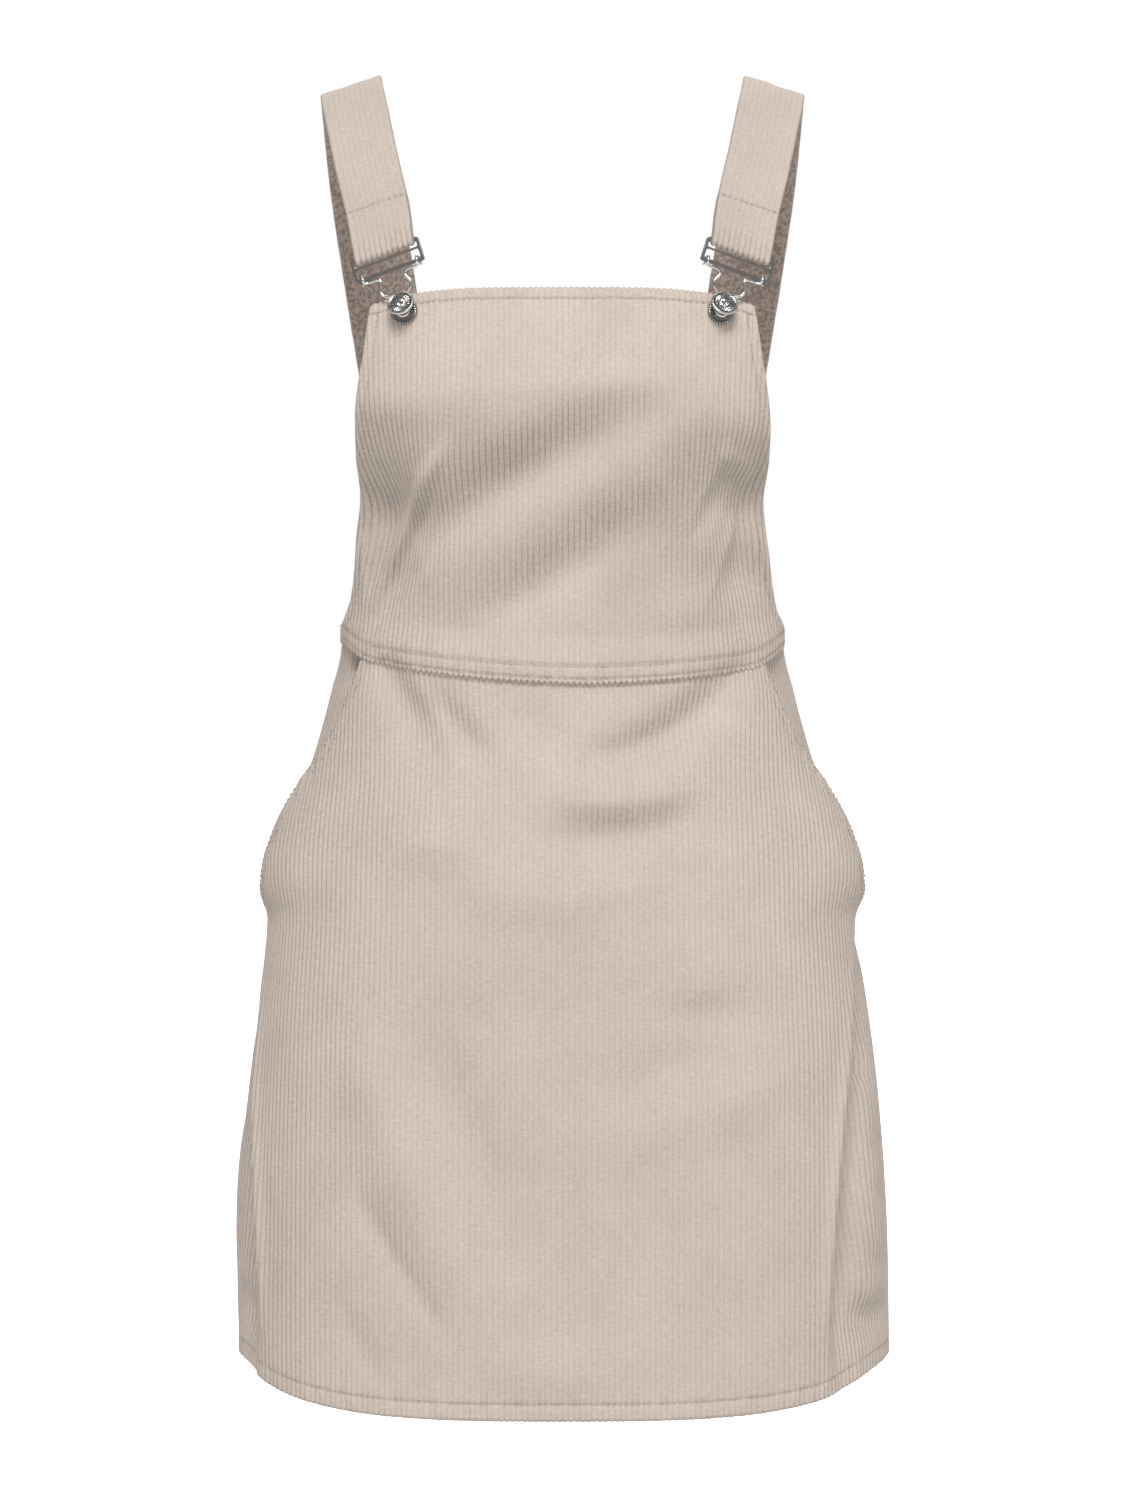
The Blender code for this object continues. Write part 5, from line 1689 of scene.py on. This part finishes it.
@dataclass
class Strap:
    """A shoulder strap: doubled round the buckle's top bar, its far end inside the bodice back."""

    form: Form
    wardrobe: Wardrobe
    plane: BucklePlane
    label: str
    wales: int = 11
    rise: float = 0.00016
    edge_round: float = 0.0009
    edge_steps: int = 6
    notch: float = 0.0011
    gather: float = 0.0008
    gather_fade: Pair = (0.004, 0.014)
    waver: float = 0.0004
    groove: float = 0.0006
    groove_width: float = 0.0008
    cross_stitch: float = 0.0300
    stitch_sink: float = 0.0003

    def line(self) -> SmoothTable:
        """Table of the strap's centre, width and width direction by the length from the top bar."""
        plane = self.plane
        rows = [(*plane.at(up=plane.top_bar_up), 2 * STRAP_TURN_HALF_WIDTH, *plane.across)]
        for *lengths, fall, turn in STRAP:
            x, y, z, width = metres(*lengths)
            fall, turn = math.radians(fall), math.radians(turn)
            across = unit(np.array([math.cos(turn) * plane.side, math.sin(turn), -math.tan(fall)]))
            rows.append((x * plane.side, y, z, width, *across))
        table = np.array(rows)
        return SmoothTable(np.column_stack([lengths_along(table[:, :3]), table]))

    @staticmethod
    def doubling(lengths: Array) -> Array:
        """How doubled the strap is, from 1 in its loop to 0 past the cross stitches."""
        low, high = STRAP_LOOP_LENGTH - STRAP_LOOP_FADE, STRAP_LOOP_LENGTH + STRAP_LOOP_FADE
        return 1 - ease(lengths, low, high)

    def sections(self, lengths: Array, shares: Array) -> tuple[Array, Array, Array]:
        """Front and back points across the strap.

        Args:
            lengths: Lengths along the strap.
            shares: Places across it, from -1 to 1.

        Returns:
            Front points, back points and outward directions, by length and share.
        """
        plane = self.plane
        x, y, z, width, ax, ay, az = self.line_table.at(lengths)
        centre, across = np.stack([x, y, z], axis=-1), unit(np.stack([ax, ay, az], axis=-1))
        ahead, behind = (
            np.stack(self.line_table.at(lengths + step)[:3], axis=-1) for step in (SLOPE_STEP, -SLOPE_STEP)
        )
        out = unit(np.cross(across, ahead - behind)) * plane.side
        back_out = STRAP_THICKNESS / 2 + (STRAP_LOOP_THICKNESS - STRAP_THICKNESS) * self.doubling(lengths)
        settle = STRAP_SETTLE_LIFT * (1 - ease(lengths, STRAP_LEAVES_BAR, STRAP_SETTLES))
        height = centre[:, 2] - WAIST_Z
        tucked = ease(-height, -STRAP_LAP_STARTS, -STRAP_LAP_ENDS)[:, None, None]
        middle = centre[:, None] + across[:, None] * (shares * width[:, None] / 2)[..., None]
        middle = middle + plane.out * settle[:, None, None]
        front = middle + out[:, None] * (STRAP_THICKNESS / 2)
        back = middle - out[:, None] * back_out[:, None, None]
        level = np.broadcast_to(height[:, None], middle.shape[:2])
        from_back = STRAP_LAP_CENTRE + STRAP_LAP_SLANT * (level - BACK_HEIGHT)
        reach = plane.side * (self.form.half_round(level) - from_back - shares * STRAP_LAP_HALF_WIDTH)
        under, normal = self.form.bare(reach, np.clip(level, -0.45, BACK_HEIGHT + 0.04))
        front = front * (1 - tucked) + (under - normal * UNDER_LAYER) * tucked
        back = back * (1 - tucked) + (under - normal * (UNDER_LAYER + STRAP_THICKNESS)) * tucked
        return front, back, unit(out[:, None] * (1 - tucked) + normal * tucked)

    def build(self) -> Piece:
        """Make the strap as one closed ribbon with ribs along it."""
        plane = self.plane
        self.line_table = self.line()
        end = self.line_table.places[-1]
        lengths = stepped(STRAP_LEAVES_BAR, (0.0285, 0.0016), (0.0318, 0.00066), (end, 0.0042))
        ribs = np.append(np.arange(self.wales)[:, None] + np.array(WALES.steps), self.wales)
        shares = np.clip(2 * ribs / self.wales - 1, -1, 1)
        inset = 1 - self.edge_round / STRAP_TURN_HALF_WIDTH
        front, back, out = self.sections(lengths, shares * inset)
        turns = np.radians([-88.0, -72.0, -55.0, -38.0, -22.0, -10.0])[:, None]
        up = plane.top_bar_up + STRAP_TURN_RADIUS * np.sin(turns)
        lift = STRAP_TURN_RADIUS * np.cos(turns)
        across = np.broadcast_to(shares * inset * STRAP_TURN_HALF_WIDTH, (len(turns), len(shares)))
        rise, fall = plane.up * np.sin(turns), plane.out * np.cos(turns)
        turned = [
            np.concatenate([plane.at(across, up, lift), front]),
            np.concatenate([plane.at(across, up, -lift), back]),
        ]
        facing = [
            np.concatenate([np.broadcast_to(way[:, None], across.shape + (3,)), normal])
            for way, normal in ((rise + fall, out), (rise - fall, -out))
        ]
        place = np.concatenate([np.zeros(len(turns)), lengths])[:, None]
        doubled = self.doubling(place)
        rib = WALES.crest(ribs * WALES.pitch) - WALES.level
        rib = rib * (self.rise + self.gather * (1 - ease(place, *self.gather_fade)))
        ribbed = rib - self.groove * bump(place - self.cross_stitch, self.groove_width)
        wave = self.waver * ripple(place * 0.6 + ribs * 0.0021, plane.side) * (1 - doubled)
        front = turned[0] + facing[0] * (ribbed + wave)[..., None]
        back = turned[1] + facing[1] * (ribbed * doubled - wave)[..., None]
        return self.tube(front, back, place, doubled, ribs)

    def tube(self, front: Array, back: Array, place: Array, doubled: Array, ribs: Array) -> Piece:
        """Join front and back over rounded sides and close both ends.

        Args:
            front: Front points by row and rib place.
            back: Back points in the same order.
            place: Length along the strap of each row.
            doubled: How doubled the strap is at each row.
            ribs: Places across, counted in ribs.

        Returns:
            The strap's object.
        """
        v = np.linspace(0, 1, self.edge_steps + 2)[1:-1]
        swell = self.edge_round * np.sqrt(np.sin(math.pi * v)) - self.notch * doubled * bump(v - 0.5, 0.13)
        sides = []
        for k, n in ((0, 1), (-1, -2)):
            outward = unit(front[:, k] - front[:, n])
            run = front[:, k, None] * (1 - v)[:, None] + back[:, k, None] * v[:, None]
            sides.append(run + outward[:, None] * swell[..., None])
        ring = np.concatenate([front, sides[1], back[:, ::-1], sides[0][:, ::-1]], axis=1)
        across = np.concatenate([ribs, np.full(len(v), self.wales), ribs[::-1], np.zeros(len(v))])
        uv = np.stack(np.broadcast_arrays(across, place / WALES.pitch), axis=-1)
        parts = MeshParts()
        index = parts.add_grid(ring, uv)
        quads, flip = around(index), self.plane.side < 0
        width, points = front.shape[1], np.arange(ring.shape[1])
        behind = (points >= width + len(v) - 1) & (points < len(points) - len(v))
        wrong = (place[:-1] > self.cross_stitch) & behind
        parts.add_faces(quads[~wrong], 0, flip)
        parts.add_faces(quads[wrong], 1, flip)
        for row, turned in ((index[0], flip), (index[-1], not flip)):
            f, b = row[:width], row[width + len(v):2 * width + len(v)][::-1]
            parts.add_faces(np.stack([f[:-1], f[1:], b[1:], b[:-1]], axis=-1), flip=turned)
            parts.add_faces([f[-1], *row[width:width + len(v)], b[-1]], flip=turned)
            parts.add_faces([b[0], *row[2 * width + len(v):][::-1], f[0]], flip=turned)
        materials = (self.wardrobe.strap_face, self.wardrobe.wrong_side)
        return parts.to_object(f"shoulder_strap_{self.label}", materials)

    def sew(self) -> Piece:
        """Sew the row of stitches that closes the loop round the bar."""
        shares = np.linspace(-0.93, 0.93, 60)
        front, back, out = self.sections(np.array([self.cross_stitch]), shares)
        stitcher = Stitcher(Thread())
        stitcher.sew(front[0] - out[0] * self.stitch_sink, out[0])
        stitcher.sew(back[0] + out[0] * self.stitch_sink, -out[0])
        return stitcher.parts.to_object(f"shoulder_strap_{self.label}_stitches", (self.wardrobe.thread,))

    def make(self) -> None:
        """Build the strap with its stitches and hand both to the frame."""
        piece, stitches = self.build(), self.sew()
        hand_over(piece, "corduroy", f"strap_{self.label}")
        hand_over(stitches, "corduroy")


# ---- buckles, hooks and buttons


Relief = Callable[[Array, Array, Array], tuple[Array, Array]]


def lathe(profile: Array, segments: int, closed: bool, relief: Relief) -> MeshParts:
    """Turn a profile about the Z axis and press a pattern into it.

    Args:
        profile: Radius and height of each ring, from the top middle outwards and down.
        segments: Points round each ring.
        closed: True where both ends lie on the axis, False for a loop round a bore.
        relief: Gives changes of radius and height for radius, turn and place along the profile.

    Returns:
        The mesh in the making.
    """
    turns = 2 * math.pi * np.arange(segments) / segments
    radius, turn = np.meshgrid(profile[:, 0], turns, indexing="ij")
    place = np.broadcast_to(lengths_along(profile)[:, None], radius.shape)
    more_radius, more_height = relief(radius, turn, place)
    radius, height = radius + more_radius, profile[:, 1:] + more_height
    parts = MeshParts()
    index = parts.add_grid(np.stack([radius * np.cos(turn), radius * np.sin(turn), height], axis=-1))
    parts.add_faces(around(index if closed else np.concatenate([index, index[:1]])))
    if closed:
        parts.add_faces(index[:1])
        parts.add_faces(index[-1:], flip=True)
    return parts


def fine_profile(rings: Array, spans: int, loop: bool = False) -> Array:
    """Put more rings between those of a profile, rounding its corners a little.

    Args:
        rings: Radius and height of each ring.
        spans: Steps between two rings.
        loop: True where the last ring joins the first.

    Returns:
        The finer profile.
    """
    table = np.concatenate([rings, rings[:1]]) if loop else rings
    shares = np.linspace(0, 1, spans, endpoint=False)
    fine = [a + (b - a) * share for a, b in zip(table, table[1:]) for share in shares]
    fine = np.array(fine if loop else [*fine, table[-1]])
    for _ in range(2):
        smoothed = 0.5 * fine + 0.25 * (np.roll(fine, 1, 0) + np.roll(fine, -1, 0))
        if not loop:
            smoothed[0], smoothed[-1] = fine[0], fine[-1]
        fine = smoothed
    return fine


@dataclass
class Buckle:
    """The flat slide and the wire hook on its lower bar."""

    wardrobe: Wardrobe
    plane: BucklePlane
    label: str
    corner_points: int = 5
    bevel: float = 0.00035
    open_corner: float = 0.0014
    strap_corner: float = 0.0009
    wire_steps: int = 230
    wire_sides: int = 14
    wire_tip: float = 0.02

    def rounded_slot(self, width: float, tall: float, corner: float, up: float, grow: float) -> Array:
        """Outline of a rounded rectangle, anticlockwise, grown on every side."""
        corner = corner + grow
        points = []
        for cx, cy, start in ((1, 1, 0), (-1, 1, 90), (-1, -1, 180), (1, -1, 270)):
            for k in range(self.corner_points + 1):
                turn = math.radians(start + 90 * k / self.corner_points)
                x = cx * (width / 2 + grow - corner) + corner * math.cos(turn)
                y = cy * (tall / 2 + grow - corner) + corner * math.sin(turn)
                points.append((x, up + y))
        return np.array(points)

    def build_frame(self) -> Piece:
        """Cut the slide's plate and round its edges."""
        height = FRAME_TOP_BAR + FRAME_STRAP_SLOT + FRAME_MIDDLE_BAR + FRAME_OPEN_SLOT + FRAME_LOWER_BAR
        middle = (height - FRAME_LOWER_BAR) / 2
        slot_width = FRAME_WIDTH - 2 * FRAME_SIDE_BAR
        open_up = (FRAME_LOWER_BAR + FRAME_OPEN_SLOT) / 2
        strap_up = open_up + (FRAME_OPEN_SLOT + FRAME_STRAP_SLOT) / 2 + FRAME_MIDDLE_BAR
        inset = self.bevel
        outlines = (
            self.rounded_slot(FRAME_WIDTH, height, FRAME_CORNER, middle, -inset),
            self.rounded_slot(slot_width, FRAME_OPEN_SLOT, self.open_corner, open_up, inset),
            self.rounded_slot(slot_width, FRAME_STRAP_SLOT, self.strap_corner, strap_up, inset),
        )
        curve = bpy.data.curves.new("slide_outline", "CURVE")
        curve.dimensions, curve.fill_mode = "2D", "BOTH"
        curve.extrude, curve.bevel_depth, curve.bevel_resolution = FRAME_THICKNESS / 2 - inset, inset, 3
        for outline in outlines:
            spline = curve.splines.new("POLY")
            spline.points.add(len(outline) - 1)
            for knot, (x, y) in zip(spline.points, outline):
                knot.co = (x, y, 0.0, 1.0)
            spline.use_cyclic_u = True
        holder = linked("slide_outline", curve)
        evaluated = holder.evaluated_get(bpy.context.evaluated_depsgraph_get())
        mesh = bpy.data.meshes.new_from_object(evaluated)
        bpy.data.objects.remove(holder)
        bpy.data.curves.remove(curve)
        mesh.transform(self.plane.matrix(self.plane.lower_bar))
        mesh.shade_smooth()
        mesh.set_sharp_from_angle(angle=math.radians(50))
        mesh.materials.clear()
        mesh.materials.append(self.wardrobe.buckle)
        return linked(f"slide_buckle_{self.label}", mesh)

    def wire_line(self) -> SmoothTable:
        """The hook's wire from curl to curl, by the length along it."""
        radius = math.hypot(FRAME_LOWER_BAR, FRAME_THICKNESS) / 2 + SEAM_GAP + HOOK_WIRE / 2
        half = []
        for k in range(CURL_STEPS):
            angle = math.radians(CURL_FIRST_ANGLE - CURL_SWEEP * k / CURL_STEPS)
            across = CURL_START + (CURL_END - CURL_START) * k / CURL_STEPS
            half.append((across, radius * math.sin(angle), radius * math.cos(angle)))
        half += list(HOOK_HALF)
        end_across, end_up, _ = HOOK_HALF[-1]
        for angle in HOOK_END_ANGLES:
            turn = math.radians(angle)
            half.append((end_across * math.cos(turn), end_up - end_across * math.sin(turn), 0.0))
        points = np.array(half + [(-a, u, o) for a, u, o in reversed(half[:-1])])
        return SmoothTable(np.column_stack([lengths_along(points), points]))

    def build_hook(self) -> Piece:
        """Bend the round wire and round its two ends."""
        table = self.wire_line()
        radius = HOOK_WIRE / 2
        stations = np.linspace(0, table.places[-1], self.wire_steps)
        centre = self.plane.at(*table.at(stations))
        run = unit(np.gradient(centre, axis=0))
        side = unit(np.cross(run[0], self.plane.out))
        frames = []
        for direction in run:
            side = unit(side - direction * (side @ direction))
            frames.append((side, np.cross(direction, side)))
        caps = np.radians([0.0, 25.0, 50.0, 72.0])
        rows = [(0, -math.cos(a) * radius, math.sin(a) * radius) for a in caps]
        rows += [(k, 0.0, radius) for k in range(self.wire_steps)]
        rows += [(self.wire_steps - 1, math.cos(a) * radius, math.sin(a) * radius) for a in caps[::-1]]
        turns = 2 * math.pi * np.arange(self.wire_sides)[:, None] / self.wire_sides
        rings = []
        for k, ahead, size in rows:
            u, v = frames[k]
            circle = np.cos(turns) * u + np.sin(turns) * v
            rings.append(centre[k] + run[k] * ahead + circle * max(size, radius * self.wire_tip))
        parts = MeshParts()
        index = parts.add_grid(np.array(rings))
        parts.add_faces(around(index)[..., [0, 3, 2, 1]])
        parts.add_faces(index[:1], flip=True)
        parts.add_faces(index[-1:])
        return parts.to_object(f"wire_hook_{self.label}", (self.wardrobe.wire,))

    def make(self) -> None:
        """Build the slide and the hook and hand both to the frame."""
        hand_over(self.build_frame(), "buckle_steel", f"buckle_frame_{self.label}")
        hand_over(self.build_hook(), "hook_wire", f"hook_{self.label}")


@dataclass
class Button:
    """A shank button: tilted cap, scalloped washer and the tack behind the bib."""

    wardrobe: Wardrobe
    plane: BucklePlane
    label: str
    segments: int = 144
    bars: int = 26
    bar_rise: float = 0.00022
    rope: int = 60
    scallops: int = 30
    face_ends: Pair = (0.0095, 0.0105)

    def cap_relief(self, radius: Array, turn: Array, place: Array) -> tuple[Array, Array]:
        """A ring of short bars between a roped rim and a dished middle."""
        top = 1 - ease(place, *self.face_ends)
        bars = np.clip(np.cos(self.bars * turn) * 2.2, -1, 1) * bump(radius - 0.0050, 0.0011)
        uneven = 0.4 * np.sin(5 * turn + 900 * radius) + 0.3 * np.sin(9 * turn - 1400 * radius)
        rope = np.cos(self.rope * turn + 2600 * radius) * bump(radius - 0.0077, 0.0005)
        boss = bump(radius - 0.0019, 0.0007) * np.cos(9 * turn)
        rise = self.bar_rise * (bars * (1 + uneven) + 0.55 * rope + 0.7 * boss)
        return np.zeros(radius.shape), rise * top

    def rim_relief(self, radius: Array, turn: Array, place: Array) -> tuple[Array, Array]:
        """Scallops round the washer's rim."""
        wave = ease(radius, 0.0066, 0.0082) * np.cos(self.scallops * turn)
        return 0.00028 * wave, 0.00010 * wave

    def make(self) -> None:
        """Build cap and washer, dress the tack and hand all to the frame."""
        flat = self.plane.matrix(self.plane.button)
        lean = Matrix.Rotation(self.plane.side * BUTTON_LEAN, 4, "Z")
        tilt = lean.inverted() @ Matrix.Rotation(-BUTTON_TILT, 4, "X") @ lean
        for name, node, rings, closed, relief, matrix in (
            ("button_cap", "button_cap", BUTTON_CAP, True, self.cap_relief, flat @ tilt),
            ("button_washer", "button_base", BUTTON_BASE, False, self.rim_relief, flat),
        ):
            parts = lathe(fine_profile(rings, 5, not closed), self.segments, closed, relief)
            piece = parts.to_object(f"{name}_{self.label}", (self.wardrobe.button,))
            piece.data.transform(matrix)
            hand_over(piece, "button_steel", f"{node}_{self.label}")
        tack = bpy.data.objects[f"button_tack_{self.label}"]
        for slot in tack.material_slots:
            slot.material = self.wardrobe.tack


# ---- the studio


@dataclass
class Studio:
    """Pale floor, soft light and the camera."""

    floor_z: float = -1.30
    floor_reach: float = 14.0
    floor_cells: int = 12
    camera_back: float = 2.60
    camera_z: float = WAIST_Z + 0.15
    pitch: float = 4.6
    lens: float = 96.77

    def floor(self) -> None:
        """Lay a large, slightly uneven white sweep."""
        mesh = bpy.data.meshes.new("studio_floor")
        wide = self.floor_cells + 1
        axis = np.linspace(-self.floor_reach, self.floor_reach, wide)
        points = [(x, y, self.floor_z) for y in axis for x in axis]
        faces = [
            [j * wide + i + corner for corner in (0, 1, wide + 1, wide)]
            for j in range(wide - 1) for i in range(wide - 1)
        ]
        mesh.from_pydata(points, [], faces)
        material, kit, shader = start_material("white_sweep")
        cloud = kit.noise(kit.add("ShaderNodeTexCoord").outputs["Object"], 0.8, 2.0, 0.5)
        seen = kit.add("ShaderNodeLightPath").outputs["Is Camera Ray"]
        kit.fill(shader, {
            "Base Color": kit.mix(cloud, grey(0.93), grey(0.96)), "Roughness": 0.9,
            "Specular IOR Level": 0.0, "Emission Color": grey(1.0),
            "Emission Strength": kit.span(seen, (0.0, 1.0), (0.25, 1.2)),
        })
        mesh.materials.append(material)
        linked("studio_floor", mesh)

    def sky(self) -> None:
        """White all round to the eye, and a soft gradient as a light."""
        world = bpy.data.worlds.new("studio")
        bpy.context.scene.world = world
        world.use_nodes = True
        kit = NodeKit(world.node_tree)
        background, output = (world.node_tree.nodes[name] for name in ("Background", "World Output"))
        ramp = kit.add("ShaderNodeValToRGB")
        stops = ((0.0, 0.30), (0.42, 0.30), (0.50, 0.36), (0.62, 0.60), (1.0, 0.90))
        elements = ramp.color_ramp.elements
        for position, _ in stops[1:-1]:
            elements.new(position)
        for element, (_, value) in zip(elements, stops):
            element.color = grey(value)
        rise = kit.axes(kit.add("ShaderNodeTexCoord").outputs["Generated"])["Z"]
        kit.fill(ramp, {"Fac": kit.span(rise, (-1.0, 1.0), (0.0, 1.0))})
        kit.fill(background, {"Color": ramp.outputs["Color"], "Strength": 0.42})
        kit.fill(output, {"Surface": kit.add("ShaderNodeMixShader", {
            "Fac": kit.add("ShaderNodeLightPath").outputs["Is Camera Ray"],
            1: background.outputs["Background"],
            2: kit.add("ShaderNodeBackground", {"Color": grey(1.0)}).outputs["Background"],
        }).outputs["Shader"]})

    def lamp(self, name: str, place: Triple, size: float, power: float) -> None:
        """Hang a square soft box that faces the dress."""
        light = bpy.data.lights.new(name, "AREA")
        light.shape, light.size, light.energy = "SQUARE", size, power
        lamp = linked(name, light)
        lamp.location = place
        aim = Vector((0.0, 0.0, -0.40)) - Vector(place)
        lamp.rotation_mode = "QUATERNION"
        lamp.rotation_quaternion = aim.to_track_quat("-Z", "Y")

    def camera(self) -> None:
        """Stand the camera in front of the dress, a little above its middle."""
        data = bpy.data.cameras.new("front_camera")
        data.lens, data.sensor_width = self.lens, 36.0
        camera = linked("front_camera", data)
        camera.location = (0.0, -self.camera_back, self.camera_z)
        camera.rotation_euler = (math.radians(90.0 - self.pitch), 0.0, 0.0)
        bpy.context.scene.camera = camera

    def set_up(self) -> None:
        """Make everything that isn't the dress."""
        bpy.context.scene.view_settings.view_transform = "Standard"
        self.floor()
        self.sky()
        self.lamp("overhead_box", (0.05, -2.80, 3.20), 1.8, 137.0)
        self.lamp("right_box", (3.2, -1.2, 0.6), 1.2, 4.0)
        self.lamp("back_box", (0.0, 3.20, 2.20), 1.6, 60.0)
        self.camera()


# ---- the dress


def main() -> None:
    """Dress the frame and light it."""
    logging.basicConfig(level=logging.INFO, format="%(name)s %(message)s")
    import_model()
    form, wardrobe = Form(), Wardrobe.made()
    skirt = SkirtFront(form, wardrobe, "skirt_front_cloth", "skirt_front", Sense.FRONT, SKIRT_CREASES,
                       SKIRT_BENDS, (0.60, 0.50), 0.2405, "draped", ("bib_front",), 1.0)
    skirt.make()
    SkirtBack(form, wardrobe, "skirt_back_cloth", "skirt_back", Sense.BACK, BACK_SKIRT_CREASES, (),
              (0.60, 0.50), 0.2400, "draped", ("bib_back",), 2.0).make()
    BibFront(form, wardrobe, "bib_front_cloth", "bib_front", Sense.FRONT, BIB_CREASES, BIB_BENDS,
             (0.37, 0.27), 0.0720, "hung", ("wire_hook_left", "wire_hook_right"), 5.0, BIB_HEIGHT, BIB_SIDE,
             SKIRT_CREASES).make()
    Bodice(form, wardrobe, "bodice_back_cloth", "bib_back", Sense.BACK, BACK_BIB_CREASES, (),
           (0.37, 0.18), 0.0480, "hung", ("strap_left", "strap_right"), 7.0, BACK_HEIGHT, BACK_SIDE,
           BACK_SKIRT_CREASES).make()
    for label, side in (("left", 1), ("right", -1)):
        PocketLayer(form, wardrobe, f"pocket_layer_{label}", f"pocket_{label}", Sense.FRONT, SKIRT_CREASES,
                    (), (0.14, 0.27), 0.0270, "hung", ("skirt_front",), 11.0, side, skirt).make()
        plane = BucklePlane(form, side)
        Strap(form, wardrobe, plane, label).make()
        Buckle(wardrobe, plane, label).make()
        Button(wardrobe, plane, label).make()
    Studio().set_up()


if __name__ == "__main__":
    main()
